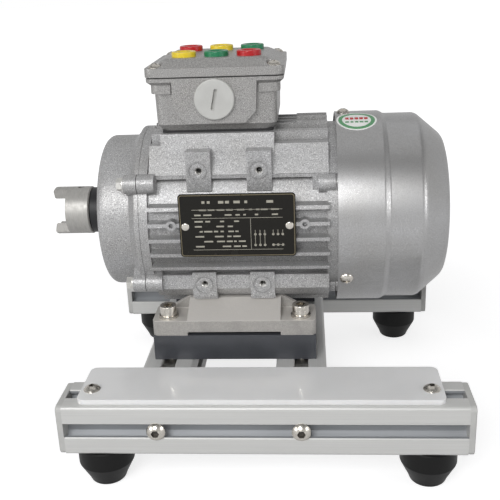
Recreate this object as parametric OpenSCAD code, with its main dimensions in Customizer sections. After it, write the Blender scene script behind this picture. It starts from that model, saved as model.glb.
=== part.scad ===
// Demonstration three-phase cage motor on a slotted aluminium base.
// X runs along the shaft with the coupling at -X, Y runs to the rear, Z is up.
// The origin lies on the floor, in the middle of the whole outline.

/* [Base frame] */
// Side of the square slotted rails
rail_w = 30; // [28:1:34]
// Length of the front and rear rails
rail_l = 222; // [216:1:240]
// Corner radius of a rail
rail_corner_r = 1.8; // [1:0.1:2.5]
// Width of a slot between its lips
slot_w = 8.2; // [8:0.1:9]
// Width of the bevel on a slot lip
slot_bevel = 0.6; // [0.3:0.1:1]
// Thickness of a slot lip
lip_t = 2.2; // [1.8:0.1:3]
// Width of the room behind the lips
chamber_w = 16; // [15:0.5:17]
// Depth of the straight part of that room
chamber_step = 2.6; // [2:0.1:3]
// Width of a slot's floor
slot_floor_w = 8.6; // [8:0.1:10]
// Depth of a slot from the face
slot_depth = 8.8; // [8:0.1:9.5]
// Radius of the bore along a rail
rail_bore_r = 3.05; // [2.9:0.05:3.4]
// Thickness of a rail's end cap
cap_t = 3.5; // [2:0.5:6]
// Corner radius of an end cap
cap_corner_r = 3; // [2:0.5:4]
// Length of the peg that holds a cap in the rail's bore
cap_peg_l = 10; // [6:1:14]

/* [Rubber feet] */
// Height of a rubber foot
foot_h = 24; // [20:1:30]
// Radius of a foot at its top
foot_top_r = 16; // [14:0.5:17]
// Height of the straight band at a foot's top
foot_band_h = 11; // [6:1:13]
// Radius of a foot where its cone ends
foot_low_r = 11; // [9.5:0.5:13]
// Radius of the flat that stands on the floor
foot_flat_r = 8.5; // [8:0.1:9]
// Height of the round edge above the floor
foot_edge_h = 3; // [2:0.5:4]
// Distance of the feet from the rail's ends
foot_from_end = 19; // [17:1:24]

/* [Label plate] */
// Distance of the plate's ends from the rail's ends
label_end_gap = 10; // [6:1:16]
// Depth of the plate
label_d = 38; // [36:1:44]
// Thickness of the plate
label_t = 3; // [2:0.5:4]
// Corner radius of the plate
label_corner_r = 4; // [2:0.5:6]
// Distance of the plate's front edge from the rail's front face
label_inset = 3; // [1:0.5:4]
// Distance from the plate to the motor's front foot
label_gap = 15.5; // [12:0.5:24]
// Distance of the plate's middle to the left of the frame's middle
label_shift = 2; // [0:0.5:4]
// Distance of a plate screw from the plate's end
label_screw_in = 6.5; // [6:0.5:12]

/* [Motor mounting] */
// Distance of the motor's feet centre to the left of the frame's middle
motor_left = 19; // [17:1:21]
// Distance of the shaft behind the frame's middle
motor_back = 4; // [2:0.5:5]
// Height of the shaft above the motor's feet
shaft_height = 63; // [62:0.5:66]
// Distance between the foot bolts along the shaft
bolt_along = 80; // [78:0.5:82]
// Distance between the foot bolts across the shaft
bolt_across = 100; // [98:0.5:102]
// Distance from the drive-side foot bolt to the shaft's shoulder
bolt_to_shoulder = 40; // [39:0.5:42]
// Length of a motor foot along the shaft
motor_foot_l = 98; // [96:1:102]
// Distance from the shaft to the outer edge of a motor foot
motor_foot_reach = 57.5; // [57:0.5:60]
// Thickness of a motor foot at its bolts
lug_t = 9.5; // [8:0.5:11]
// Length of the lug round a foot bolt
lug_l = 21; // [19:0.5:22]
// Height of the relief below a foot's middle
relief_h = 2.2; // [1:0.2:3]
// Height of a spacer bar
bar_h = 16; // [12:1:20]
// Depth of a spacer bar
bar_d = 28; // [22:1:30]
// Radius of the holes for the foot bolts
foot_hole_r = 3.5; // [3.3:0.1:3.6]

/* [Motor body] */
// Radius of the bore that holds the stator core
stator_r = 47; // [46.5:0.1:47.4]
// Thickness of the housing's wall
housing_wall = 3.2; // [3:0.1:3.5]
// Radius of the circle on which the fins end
fin_tip_r = 58.5; // [58:0.1:59]
// Distance from one fin to the next
fin_pitch = 9.2; // [9:0.1:9.4]
// Thickness of a fin
fin_t = 2.2; // [1.8:0.1:2.6]
// Radius of the ring at each end of the housing
end_ring_r = 53; // [52:0.5:54]
// Distance from the feet centre to the housing's drive end
housing_front = 53; // [52:0.5:54]
// Distance from the feet centre to the housing's fan end
housing_rear = 61.3; // [60:0.1:62]
// Width of the ring at the drive end
front_ring_w = 5; // [4:0.5:8]
// Width of the ring at the fan end
rear_ring_w = 5; // [4:0.5:6]
// Distance of the side mounting faces from the shaft
boss_face = 45.5; // [45.2:0.1:45.8]
// Distance between side mounting holes along the shaft
boss_along = 35; // [34:0.5:36]
// Distance between side mounting holes in height
boss_apart = 70; // [69:0.5:71]
// Width of a mounting boss
boss_w = 14.5; // [13:0.5:15]
// Radius of the tapped holes in the bosses
boss_hole_r = 2.1; // [2:0.05:2.3]
// Depth of the tapped holes in the bosses
boss_hole_l = 9; // [7:0.5:10]

/* [End shields] */
// Radius of the drive-end shield's body
shield_r = 47.5; // [47:0.1:48]
// Radius of the rounded edge of the drive-end shield
shield_edge_r = 5; // [3:0.5:6]
// Wall of the end shields
shield_wall = 4; // [3.5:0.5:5]
// Length of the shield's flared rim
rim_l = 5; // [4:0.5:7]
// Depth of the spigots that centre the shields in the housing
spigot_l = 4; // [3:0.5:5]
// Distance of the end-shield screws from the shaft
lug_circle_r = 55; // [54.5:0.1:55.5]
// Distance of the fan-end shield's screws from the shaft
fan_lug_circle_r = 51; // [50.5:0.1:51.5]
// Radius of an end-shield lug
lug_r = 5.6; // [5:0.1:6]
// Length of a lug on the shield
lug_on_shield_l = 8; // [6:0.5:9]

/* [Rotor] */
// Radius of the shaft's drive end
shaft_end_r = 5.5; // [5.4:0.05:5.6]
// Length of the shaft's drive end past its shoulder
shaft_end_l = 23; // [22:0.5:24]
// Radius of the shaft in its bearings
journal_r = 6; // [5.9:0.05:6.1]
// Radius of the shaft in the rotor core
core_shaft_r = 8; // [7.5:0.1:9]
// Length of the rotor and stator cores
core_l = 55; // [50:1:60]
// Radius of the stator's bore
stator_bore_r = 25; // [24.5:0.1:26]
// Air gap between the rotor and the stator
air_gap = 0.35; // [0.3:0.01:0.5]
// Number of bars in the rotor cage
bar_count = 16; // [12:1:20]
// Radius of a bar of the rotor cage
cage_bar_r = 1.7; // [1.5:0.1:1.9]
// Length of an end ring of the rotor cage
end_ring_l = 8; // [6:0.5:9]
// Length of the winding heads past the stator core
winding_l = 17; // [14:0.5:19]

/* [Bearings] */
// Outer radius of a bearing
bearing_r = 16; // [15.9:0.05:16.1]
// Width of a bearing
bearing_w = 10; // [9.5:0.1:10.5]
// Radius of a bearing ball
ball_r = 3; // [2.9:0.05:3.1]
// Number of balls in a bearing
ball_count = 7; // [6:1:8]

/* [Coupling hub] */
// Radius of the hub
hub_r = 15.2; // [15:0.1:16]
// Length of the hub's round body
hub_l = 15; // [14:0.5:16]
// Length of a claw past the hub's body
claw_l = 9; // [7:0.5:10]
// Inner radius of a claw
claw_in_r = 9; // [8:0.5:10]
// Angle that a claw covers
claw_angle = 58; // [50:1:62]
// Turn of the claws from upright
claw_turn = 10; // [0:1:30]
// Gap between the shaft's shoulder and the hub
hub_gap = 13; // [12:0.5:14]

/* [Fan and cover] */
// Radius of the fan cover
cover_r = 59; // [58.5:0.1:59.5]
// Thickness of the cover's sheet
cover_t = 1.2; // [1:0.1:1.5]
// Length of the fan cover
cover_l = 65; // [64:0.5:68]
// Length of the wide part of the cover
cover_wide_l = 27; // [25:0.5:29]
// Height of the step in the cover
cover_step = 1.7; // [1.2:0.1:2]
// Length of the cover up to its sloping shoulder
cover_straight_l = 48; // [46:0.5:50]
// Radius at the outer end of the shoulder
cover_end_r = 43; // [41:0.5:45]
// Length of the sloping shoulder
cover_slope_l = 15; // [14:0.5:16]
// Radius of the fan
fan_r = 48; // [44:0.5:50]
// Number of fan blades
blade_count = 8; // [6:1:10]
// Length of a fan blade along the shaft
blade_l = 20; // [16:0.5:24]

/* [Terminal box] */
// Distance of the box's middle from the feet centre, towards the coupling
box_left = 6.8; // [6:0.1:7.5]
// Wall of the lid past the outer socket nuts, along the shaft
lid_side_wall = 1.45; // [1.2:0.05:3]
// Wall of the lid past the socket nuts, across the shaft
lid_row_wall = 2.2; // [1.2:0.1:4]
// Thickness of the lid's rim
lid_rim_t = 4.9; // [4.6:0.1:6.5]
// Rise of the lid's flat top above its rim
lid_rise = 4.2; // [3.5:0.1:5]
// Width of the sloping band round the lid's top
lid_slope_w = 11; // [10:0.5:12]
// Corner radius of the lid
lid_corner_r = 5; // [4:0.5:6]
// Height of the box, without its lid
box_h = 30.5; // [28:0.1:32]
// Wall of the box and the lid
box_wall = 3; // [2.5:0.1:3.5]
// Height of the housing's top pad above the shaft
pad_top = 55; // [54.5:0.5:57]
// Thickness of the gasket below the box
box_gasket_t = 1.5; // [1:0.1:2]
// Thickness of the gasket below the lid
lid_gasket_t = 0.8; // [0.5:0.1:1]
// Radius of the blanking plug's head
plug_r = 11.5; // [10.5:0.1:12]

/* [Sockets] */
// Distance between sockets along the shaft
socket_along = 19; // [18.5:0.1:19.2]
// Distance between the two rows of sockets
socket_across = 33; // [32:0.5:34]
// Radius of a socket's flange
socket_flange_r = 7.15; // [7:0.05:7.5]
// Height of a socket's flange
socket_flange_h = 3; // [2.5:0.1:3.5]
// Radius of a socket's body
socket_body_r = 5.5; // [5.3:0.1:5.8]
// Depth of a socket below the lid's top
socket_depth = 20; // [18:0.5:21]
// Radius of the room for a shrouded plug
shroud_r = 4.2; // [4.1:0.05:4.3]
// Radius of the bore for a plug pin
pin_bore_r = 2; // [1.98:0.01:2.02]

/* [Hidden] */
$fn = 64;
// Overrun of a cut past the face it opens
over = 1;
// Gap round a screw, pin or ring in its hole
fit = 0.05;
// Gap between pieces that move past each other
run_gap = 0.3;
// Gap round a nut in its slot
nut_gap = 0.25;
// Distance of a screw's end from the bottom of its hole
screw_short = 1;

// Sizes of the screws: shank radius, head radius and head height
m6_r = 3;
m6_cap_r = 5;
m6_cap_h = 6;
m6_button_r = 5.3;
m6_button_h = 3.3;
m5_r = 2.5;
m5_button_r = 4.75;
m5_button_h = 2.75;
m5_cap_r = 4.25;
m5_cap_h = 5;
m4_r = 2;
m4_pan_r = 4;
m4_pan_h = 2.6;
// Radius and height of a hexagon head on an end-shield screw, and its flange
hex_r = 4;
hex_h = 3.2;
hex_flange_r = 4.6;
hex_flange_h = 0.9;
// Width across the corners of the sockets in the screw heads
m6_key_r = 2.85;
m5_key_r = 1.75;
m6_washer_r = 6;
m6_washer_h = 1.6;
// Share of a head's height that its key socket is deep
key_depth_share = 0.55;
// Share of a domed head's height that its straight edge takes
head_edge_share = 0.15;
// Width and length of a cross recess
cross_w = 0.9;
cross_l = 4.2;
cross_depth = 1.3;

// Radius of a socket nut's corners
socket_nut_r = 8;

// Heights and places that follow from the driving sizes
frame_depth = 2 * (label_inset + label_d + label_gap + motor_foot_reach - motor_back);
foot_x = rail_l / 2 - foot_from_end;
label_l = rail_l - 2 * label_end_gap;
lid_flat_l = 2 * (socket_along + socket_nut_r + run_gap + lid_side_wall);
lid_flat_d = socket_across + 2 * (socket_nut_r + run_gap + lid_row_wall);
lid_l = lid_flat_l + 2 * lid_slope_w;
lid_d = lid_flat_d + 2 * lid_slope_w;
rail_top = foot_h + rail_w;
rail_mid = foot_h + rail_w / 2;
feet_plane = rail_top + bar_h;
axis_z = feet_plane + shaft_height;
shoulder_x = -(bolt_along / 2 + bolt_to_shoulder);
hub_x = shoulder_x - hub_gap;
hub_tip_x = hub_x - hub_l - claw_l;
cover_gap = 0.9;
cover_x = housing_rear + cover_gap;
cover_end_x = cover_x + cover_l;
left_reach = max(rail_l / 2 + cap_t, motor_left - hub_tip_x);
right_reach = max(rail_l / 2 + cap_t, cover_end_x - motor_left);
base_x = (left_reach - right_reach) / 2;
motor_x = base_x - motor_left;
rail_y = (frame_depth - rail_w) / 2;
cross_l_rail = frame_depth - 2 * rail_w;
cross_x = bolt_along / 2;

module at_base() {
  translate([base_x, 0, 0]) children();
}

module at_motor() {
  translate([motor_x, motor_back, axis_z]) children();
}

// Cylinder along X from x0 to x1
module rod_x(x0, x1, r) {
  translate([x0, 0, 0]) rotate([0, 90, 0]) cylinder(h = x1 - x0, r = r);
}

// Tube along X from x0 to x1
module tube_x(x0, x1, r_out, r_in) {
  difference() {
    rod_x(x0, x1, r_out);
    rod_x(x0 - over, x1 + over, r_in);
  }
}

// Solid turned about the X axis from points of radius and place
module turned_x(points) {
  rotate([0, 90, 0]) rotate_extrude() polygon(points);
}

// Rectangle with round corners, centred
module round_plate(l, d, r) {
  square([l - 2 * r, d], center = true);
  square([l, d - 2 * r], center = true);
  for (sx = [-1, 1], sy = [-1, 1])
    translate([sx * (l / 2 - r), sy * (d / 2 - r)]) circle(r = r);
}

// Block with round upright edges, standing on z = 0
module round_block(l, d, h, r) {
  linear_extrude(height = h) round_plate(l, d, r);
}

// Screw pointing down from z = 0, with a round head above it
module round_screw(shank_r, shank_l, head_r, head_h, key_r) {
  difference() {
    union() {
      translate([0, 0, -shank_l]) cylinder(h = shank_l, r = shank_r);
      cylinder(h = head_h, r = head_r);
    }
    translate([0, 0, head_h * (1 - key_depth_share)]) cylinder(h = head_h, r = key_r, $fn = 6);
  }
}

// Round head with a short straight edge and a domed top
module domed_head(head_r, head_h) {
  rise = head_h * (1 - head_edge_share);
  dome_r = (head_r * head_r + rise * rise) / (2 * rise);
  intersection() {
    translate([0, 0, head_h - dome_r]) sphere(r = dome_r);
    cylinder(h = head_h, r = head_r);
  }
}

// Screw pointing down from z = 0, with a domed head
module button_screw(shank_r, shank_l, head_r, head_h, key_r) {
  difference() {
    union() {
      translate([0, 0, -shank_l]) cylinder(h = shank_l, r = shank_r);
      domed_head(head_r, head_h);
    }
    translate([0, 0, head_h * (1 - key_depth_share)]) cylinder(h = head_h, r = key_r, $fn = 6);
  }
}

// Screw pointing down from z = 0, with a pan head and a cross recess
module pan_screw(shank_r, shank_l, head_r, head_h) {
  difference() {
    union() {
      translate([0, 0, -shank_l]) cylinder(h = shank_l, r = shank_r);
      domed_head(head_r, head_h);
    }
    for (turn = [0, 90])
      rotate([0, 0, turn])
        translate([-cross_l / 2, -cross_w / 2, head_h - cross_depth])
          cube([cross_l, cross_w, cross_depth + over]);
  }
}

// Outline of a slotted rail
module slot_outline() {
  half = rail_w / 2;
  lip = half - lip_t;
  step = lip - chamber_step;
  floor_y = half - slot_depth;
  polygon([
    [-slot_w / 2 - slot_bevel, half + over], [-slot_w / 2 - slot_bevel, half],
    [-slot_w / 2, half - slot_bevel], [-slot_w / 2, lip], [-chamber_w / 2, lip],
    [-chamber_w / 2, step], [-slot_floor_w / 2, floor_y], [slot_floor_w / 2, floor_y],
    [chamber_w / 2, step], [chamber_w / 2, lip], [slot_w / 2, lip],
    [slot_w / 2, half - slot_bevel], [slot_w / 2 + slot_bevel, half],
    [slot_w / 2 + slot_bevel, half + over]
  ]);
}

module rail_outline() {
  difference() {
    round_plate(rail_w, rail_w, rail_corner_r);
    for (turn = [0:90:270]) rotate(turn) slot_outline();
    circle(r = rail_bore_r);
  }
}

// Rail along X, its middle at the origin
module rail_along_x(l) {
  rotate([90, 0, 90]) translate([0, 0, -l / 2]) linear_extrude(height = l) rail_outline();
}

// Long rail with the two cross holes for the frame screws
module long_rail() {
  difference() {
    rail_along_x(rail_l);
    for (side = [-1, 1])
      translate([side * cross_x - motor_left, rail_w / 2, 0])
        rotate([90, 0, 0]) cylinder(h = rail_w, r = m6_r + fit + fit);
  }
}

module front_rail() {
  color("gainsboro") at_base() translate([0, -rail_y, rail_mid]) long_rail();
}

module rear_rail() {
  color("gainsboro") at_base() translate([0, rail_y, rail_mid]) long_rail();
}

module cross_rail(side) {
  color("gainsboro") at_base()
    translate([side * cross_x - motor_left, 0, rail_mid])
      rotate([0, 0, 90]) rail_along_x(cross_l_rail);
}

module left_cross_rail() {
  cross_rail(-1);
}

module right_cross_rail() {
  cross_rail(1);
}

module rail_end_caps() {
  color("silver") at_base()
    for (end = [-1, 1], row = [-1, 1])
      translate([end * rail_l / 2, row * rail_y, rail_mid])
        rotate([0, end * 90, 0]) {
          round_block(rail_w, rail_w, cap_t, cap_corner_r);
          translate([0, 0, -cap_peg_l])
            cylinder(h = cap_peg_l + cap_t / 2, r = rail_bore_r - fit);
        }
}

foot_recess_gap = 0.8;
foot_recess_r = m5_button_r + foot_recess_gap;
foot_recess_h = 8;
nut_h = chamber_step + (chamber_w - slot_floor_w) / 2 - nut_gap - nut_gap;
foot_nut_l = 14;

module rubber_foot() {
  difference() {
    rotate_extrude() polygon([
      [m5_r + fit, 0], [foot_flat_r, 0], [foot_flat_r + foot_edge_h / 2, foot_edge_h / 3],
      [foot_low_r, foot_edge_h], [foot_top_r, foot_h - foot_band_h],
      [foot_top_r, foot_h], [m5_r + fit, foot_h]
    ]);
    translate([0, 0, -over]) cylinder(h = foot_recess_h + over, r = foot_recess_r);
  }
}

// Places its children at the four rubber feet
module at_feet() {
  at_base()
    for (sx = [-1, 1], sy = [-1, 1])
      translate([sx * foot_x, sy * rail_y, 0]) children();
}

module rubber_feet() {
  color("dimgray") at_feet() rubber_foot();
}

module foot_screws() {
  shank = foot_h - foot_recess_h + lip_t + nut_h;
  color("silver") at_feet()
    translate([0, 0, foot_recess_h]) mirror([0, 0, 1])
      button_screw(m5_r, shank, m5_button_r, m5_button_h, m5_key_r);
}

// Slot nut lying in a slot that opens upwards at z = 0, its length along X
module slot_nut(l, hole_r) {
  half = chamber_w / 2 - nut_gap;
  low = slot_floor_w / 2 - nut_gap;
  straight = chamber_step - nut_gap;
  difference() {
    rotate([90, 0, 90]) translate([0, 0, -l / 2]) linear_extrude(height = l) polygon([
      [-half, -lip_t], [-half, -lip_t - straight], [-low, -lip_t - nut_h],
      [low, -lip_t - nut_h], [half, -lip_t - straight], [half, -lip_t]
    ]);
    translate([0, 0, -lip_t - nut_h - over]) cylinder(h = nut_h + over + over, r = hole_r);
  }
}

module foot_nuts() {
  color("silver") at_feet()
    translate([0, 0, foot_h]) mirror([0, 0, 1]) slot_nut(foot_nut_l, m5_r + fit);
}

// Length of a frame screw inside the cross rail
frame_screw_grip = 18;

module frame_screws() {
  color("silver") at_base()
    for (side = [-1, 1], row = [-1, 1])
      translate([side * cross_x - motor_left, row * frame_depth / 2, rail_mid])
        rotate([row * -90, 0, 0])
          button_screw(m6_r, rail_w + frame_screw_grip, m6_button_r, m6_button_h, m6_key_r);
}

label_y = -frame_depth / 2 + label_inset + label_d / 2;
label_screw_x = label_l / 2 - label_screw_in;

module label_plate() {
  color("whitesmoke") at_base()
    difference() {
      translate([-label_shift, label_y, rail_top])
        round_block(label_l, label_d, label_t, label_corner_r);
      for (side = [-1, 1])
        translate([side * label_screw_x - label_shift, -rail_y, rail_top - over])
          cylinder(h = label_t + over + over, r = m5_r + fit);
    }
}

// Places its children at the two label screws, on top of the front rail
module at_label_screws() {
  at_base()
    for (side = [-1, 1])
      translate([side * label_screw_x - label_shift, -rail_y, rail_top]) children();
}

module label_screws() {
  color("silver") at_label_screws()
    translate([0, 0, label_t])
      button_screw(m5_r, label_t + lip_t + nut_h, m5_button_r, m5_button_h, m5_key_r);
}

module label_nuts() {
  color("silver") at_label_screws() slot_nut(foot_nut_l, m5_r + fit);
}

// Places its children at the foot bolts of one side, at the height of the motor's feet
module at_foot_bolts(row) {
  at_motor()
    for (side = [-1, 1])
      translate([side * bolt_along / 2, row * bolt_across / 2, -shaft_height]) children();
}

bar_y = motor_foot_reach - bar_d / 2;

module spacer_bar(row) {
  color("dimgray") difference() {
    at_motor()
      translate([-motor_foot_l / 2, row * bar_y - bar_d / 2, -shaft_height - bar_h])
        cube([motor_foot_l, bar_d, bar_h]);
    at_foot_bolts(row) translate([0, 0, -bar_h - over])
      cylinder(h = bar_h + over + over, r = foot_hole_r);
  }
}

module front_spacer_bar() {
  spacer_bar(-1);
}

module rear_spacer_bar() {
  spacer_bar(1);
}

// Sizes of a motor foot's raised block
block_l = motor_foot_l - 2 * lug_l;
block_inner_y = 26;
block_pad_y = 40;
lug_inner_y = 33;
lug_edge_r = 3;
gusset_t = 4;
gusset_l = 13;
foot_top_z = shaft_height - boss_face;
foot_screw_floor = 7;

// Motor foot on the side of +Y, its plane at z = 0
module motor_foot_solid() {
  difference() {
    union() {
      rotate([90, 0, 90]) translate([0, 0, -block_l / 2]) linear_extrude(height = block_l) polygon([
        [block_inner_y, relief_h], [motor_foot_reach, relief_h], [motor_foot_reach, lug_t],
        [block_pad_y, foot_top_z], [block_inner_y, foot_top_z]
      ]);
      for (side = [-1, 1]) {
        translate([side * (motor_foot_l - lug_l) / 2, (motor_foot_reach + lug_inner_y) / 2, 0])
          round_block(lug_l, motor_foot_reach - lug_inner_y, lug_t, lug_edge_r);
        translate([side * (block_l / 2 + lug_edge_r / 2), (motor_foot_reach + lug_inner_y) / 2, 0])
          translate([-lug_edge_r / 2, -(motor_foot_reach - lug_inner_y) / 2, 0])
            cube([lug_edge_r, motor_foot_reach - lug_inner_y, lug_t]);
        translate([0, lug_inner_y + gusset_t, 0]) rotate([90, 0, 0])
          linear_extrude(height = gusset_t) polygon([
            [side * block_l / 2, lug_t], [side * (block_l / 2 + gusset_l), lug_t],
            [side * block_l / 2, foot_top_z]
          ]);
      }
    }
    for (side = [-1, 1]) {
      translate([side * bolt_along / 2, bolt_across / 2, -over])
        cylinder(h = lug_t + over + over, r = foot_hole_r);
      translate([side * boss_along / 2, boss_apart / 2, -over]) {
        cylinder(h = foot_top_z + over + over, r = m5_r + fit + fit);
        cylinder(h = foot_top_z - foot_screw_floor + over, r = m5_cap_r + run_gap);
      }
    }
  }
}

module front_motor_foot() {
  color("darkgray") at_motor() translate([0, 0, -shaft_height]) mirror([0, 1, 0]) motor_foot_solid();
}

module rear_motor_foot() {
  color("darkgray") at_motor() translate([0, 0, -shaft_height]) motor_foot_solid();
}

foot_bolt_l = 35;
foot_bolt_nut_l = 20;

module foot_bolts() {
  color("silver")
    for (row = [-1, 1])
      at_foot_bolts(row)
        translate([0, 0, lug_t + m6_washer_h])
          round_screw(m6_r, foot_bolt_l, m6_cap_r, m6_cap_h, m6_key_r);
}

module foot_washers() {
  color("silver")
    for (row = [-1, 1])
      at_foot_bolts(row)
        translate([0, 0, lug_t]) difference() {
          cylinder(h = m6_washer_h, r = m6_washer_r);
          translate([0, 0, -over]) cylinder(h = m6_washer_h + over + over, r = m6_r + run_gap);
        }
}

module foot_bolt_nuts() {
  color("silver")
    for (row = [-1, 1])
      at_foot_bolts(row)
        translate([0, 0, -bar_h]) rotate([0, 0, 90]) slot_nut(foot_bolt_nut_l, m6_r + fit);
}

module motor_foot_screws() {
  color("silver") at_motor()
    for (side = [-1, 1], row = [-1, 1])
      translate([side * boss_along / 2, row * boss_apart / 2, -boss_face - foot_screw_floor])
        mirror([0, 0, 1])
          round_screw(boss_hole_r - fit, foot_screw_floor + boss_hole_l - run_gap,
            m5_cap_r, m5_cap_h, m5_key_r);
}

// Sizes of the housing that follow from the driving sizes
body_r = stator_r + housing_wall;
fin_x0 = -(housing_front - front_ring_w - over);
fin_x1 = housing_rear - rear_ring_w + over;
fin_first = 6.6;
fin_low_count = 4;
fin_high_count = 1;
upright_fins = 3;
shoulder_low = 21;
band_top = 32.5;
band_back = 0.8;
band_ledge = 1.4;
band_face = boss_face - band_back;
shoulder_high = 48;
shoulder_in = 26;
lower_shoulder_top = 29;
foot_clear = 0.8;
pocket_depth = 5;
pocket_rim = 1.9;
pocket_end_rim = 4.4;
boss_long_top = 46.6;
boss_long_low = 23.3;
boss_short_top = 27;
boss_short_low = 42.5;
pad_l = 66;
pad_d = 70;
neck_d = 77;
pad_corner_r = 3;
cable_hole_r = 9;
fin_step_x = 39;
fin_step_h = 2.4;
upper_lug_angle = 31.5;
lower_lug_angle = -38;
fan_lower_angle = -50;
LUG_ANGLES = [upper_lug_angle, lower_lug_angle, 180 - upper_lug_angle, 180 - lower_lug_angle];
FAN_LUG_ANGLES = [upper_lug_angle, fan_lower_angle, 180 - upper_lug_angle, 180 - fan_lower_angle];
lug_on_housing_l = 10;
lug_web_in = 0.6;
lug_joint = 0.2;
end_screw_r = 2.5;
plate_l = 66.5;
plate_h = 37.5;
plate_t = 1;
plate_x = 5;
plate_lift = 0.3;
plate_z = fin_first + plate_lift;
plate_back = fin_tip_r + run_gap;
plate_corner_r = 2;
rivet_in = 3.6;
rivet_r = 1.4;
rivet_head_r = 2.4;
rivet_head_h = 1;
ear_r = 2.9;
ear_out = 5;
ear_depth = 6;

// Places its children at the drive-end shield's screws, on their own axes
module at_lugs() {
  for (a = LUG_ANGLES) rotate([-a, 0, 0]) translate([0, -lug_circle_r, 0]) children();
}

// Places its children at the fan-end shield's screws, on their own axes
module at_fan_lugs() {
  for (a = FAN_LUG_ANGLES) rotate([-a, 0, 0]) translate([0, -fan_lug_circle_r, 0]) children();
}

// Lug along X whose foot goes inwards by a depth
module lug_solid(x0, x1, depth) {
  rod_x(x0, x1, lug_r);
  translate([x0, 0, lug_web_in - lug_r]) cube([x1 - x0, depth, 2 * (lug_r - lug_web_in)]);
}

// Mounting boss on the -Y side of the housing, its face at -boss_face
module side_boss(z0, z1) {
  translate([-boss_w / 2, -boss_face - spot_depth, z0])
    cube([boss_w, boss_face + spot_depth - shoulder_in, z1 - z0]);
}

// Tapped hole with its spot face in a mounting boss that faces -Y
module boss_hole(z) {
  translate([0, -boss_face, z]) rotate([-90, 0, 0]) {
    translate([0, 0, -over]) cylinder(h = boss_hole_l + over, r = boss_hole_r);
    translate([0, 0, -over])
      cylinder(h = spot_chamfer + over, r = boss_hole_r + 2 * spot_chamfer);
    translate([0, 0, -over]) cylinder(h = over, r = spot_r);
  }
}
spot_depth = 0.3;
spot_r = 6.3;
spot_chamfer = 0.4;

// Space that the fins fill: round, but flat beside the bosses
module fin_room() {
  intersection() {
    rod_x(fin_x0, fin_x1, fin_tip_r);
    union() {
      translate([fin_x0, -band_face, -fin_tip_r])
        cube([fin_x1 - fin_x0, 2 * band_face, 2 * fin_tip_r]);
      translate([fin_x0, -fin_tip_r, -boss_short_top])
        cube([fin_x1 - fin_x0, 2 * fin_tip_r, boss_short_top + shoulder_low]);
    }
  }
}

// Solid along X with an outline drawn across the shaft
module along_x(x0, x1, outline) {
  translate([x0, 0, 0]) rotate([90, 0, 90]) linear_extrude(height = x1 - x0) polygon(outline);
}

module fins() {
  slope_y = sqrt(fin_tip_r * fin_tip_r - shoulder_high * shoulder_high);
  intersection() {
    fin_room();
    union() {
      for (k = [-fin_low_count:fin_high_count])
        translate([fin_x0, -fin_tip_r, fin_first + k * fin_pitch - fin_t / 2])
          cube([fin_x1 - fin_x0, 2 * fin_tip_r, fin_t]);
      for (k = [0:upright_fins - 1], side = [-1, 1])
        translate([fin_x0, side * (k + 1 / 2) * fin_pitch - fin_t / 2, -fin_tip_r])
          cube([fin_x1 - fin_x0, fin_t, 2 * fin_tip_r]);
      for (side = [0, 1]) mirror([0, side, 0]) {
        along_x(fin_x0, fin_x1, [
          [-shoulder_in, shoulder_low], [-band_face, shoulder_low], [-band_face, band_top],
          [band_ledge - band_face, band_top], [-slope_y, shoulder_high],
          [-shoulder_in, shoulder_high]
        ]);
        translate([fin_x0, -band_face, foot_clear - boss_face])
          cube([fin_x1 - fin_x0, band_face - shoulder_in,
            boss_face - foot_clear - lower_shoulder_top]);
      }
    }
  }
}

// Recess between the bosses in the upper side band
module side_pocket(x0, x1) {
  translate([x0, -boss_face, shoulder_low + pocket_rim])
    cube([x1 - x0, pocket_depth, band_top - shoulder_low - 2 * pocket_rim]);
}

module housing_outside() {
  rod_x(-housing_front, housing_rear, body_r);
  rod_x(-housing_front, -housing_front + front_ring_w, end_ring_r);
  rod_x(housing_rear - rear_ring_w, housing_rear, end_ring_r);
  difference() {
    fins();
    for (side = [0, 1]) mirror([0, side, 0]) {
      side_pocket(fin_x0 + pocket_end_rim, -(boss_along + boss_w) / 2);
      side_pocket(-(boss_along - boss_w) / 2, (boss_along - boss_w) / 2);
      side_pocket((boss_along + boss_w) / 2, fin_x1 - pocket_end_rim - rear_ring_w);
    }
    translate([fin_x0, -shoulder_in, fin_tip_r - fin_step_h])
      cube([fin_step_x - fin_x0, 2 * shoulder_in, fin_step_h + over]);
    translate([-box_left - lid_l / 2, -pad_d / 2, pad_top - slab_t])
      cube([(lid_l + pad_l) / 2, pad_d, fin_tip_r - pad_top + 2 * slab_t]);
  }
  for (side = [0, 1], place = [-1, 1]) mirror([0, side, 0])
    translate([place * boss_along / 2, 0, 0]) {
      side_boss(boss_long_low, boss_long_top);
      side_boss(-boss_short_low, -boss_short_top);
    }
  for (side = [-1, 1], place = [-1, 1])
    translate([place * boss_along / 2 - boss_w / 2, side * boss_apart / 2 - boss_w / 2, -boss_face])
      cube([boss_w, boss_w, boss_face - shoulder_in]);
  along_x(-box_left - pad_l / 2, pad_l / 2 - box_left, [
    [-neck_d / 2, band_top + over], [neck_d / 2, band_top + over], [pad_d / 2, pad_top],
    [-pad_d / 2, pad_top]
  ]);
  at_lugs()
    lug_solid(-housing_front + lug_joint, -housing_front + lug_on_housing_l,
      lug_circle_r - body_r + housing_wall / 2);
  at_fan_lugs()
    lug_solid(housing_rear - lug_on_housing_l, housing_rear - lug_joint,
      fan_lug_circle_r - stator_r - housing_wall / 2);
  for (side = [-1, 1], out = [-rivet_in, ear_out])
    translate([plate_x + side * (plate_l / 2 + out), -fin_tip_r, fin_first])
      rotate([-90, 0, 0]) cylinder(h = ear_depth, r = ear_r);
}

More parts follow.
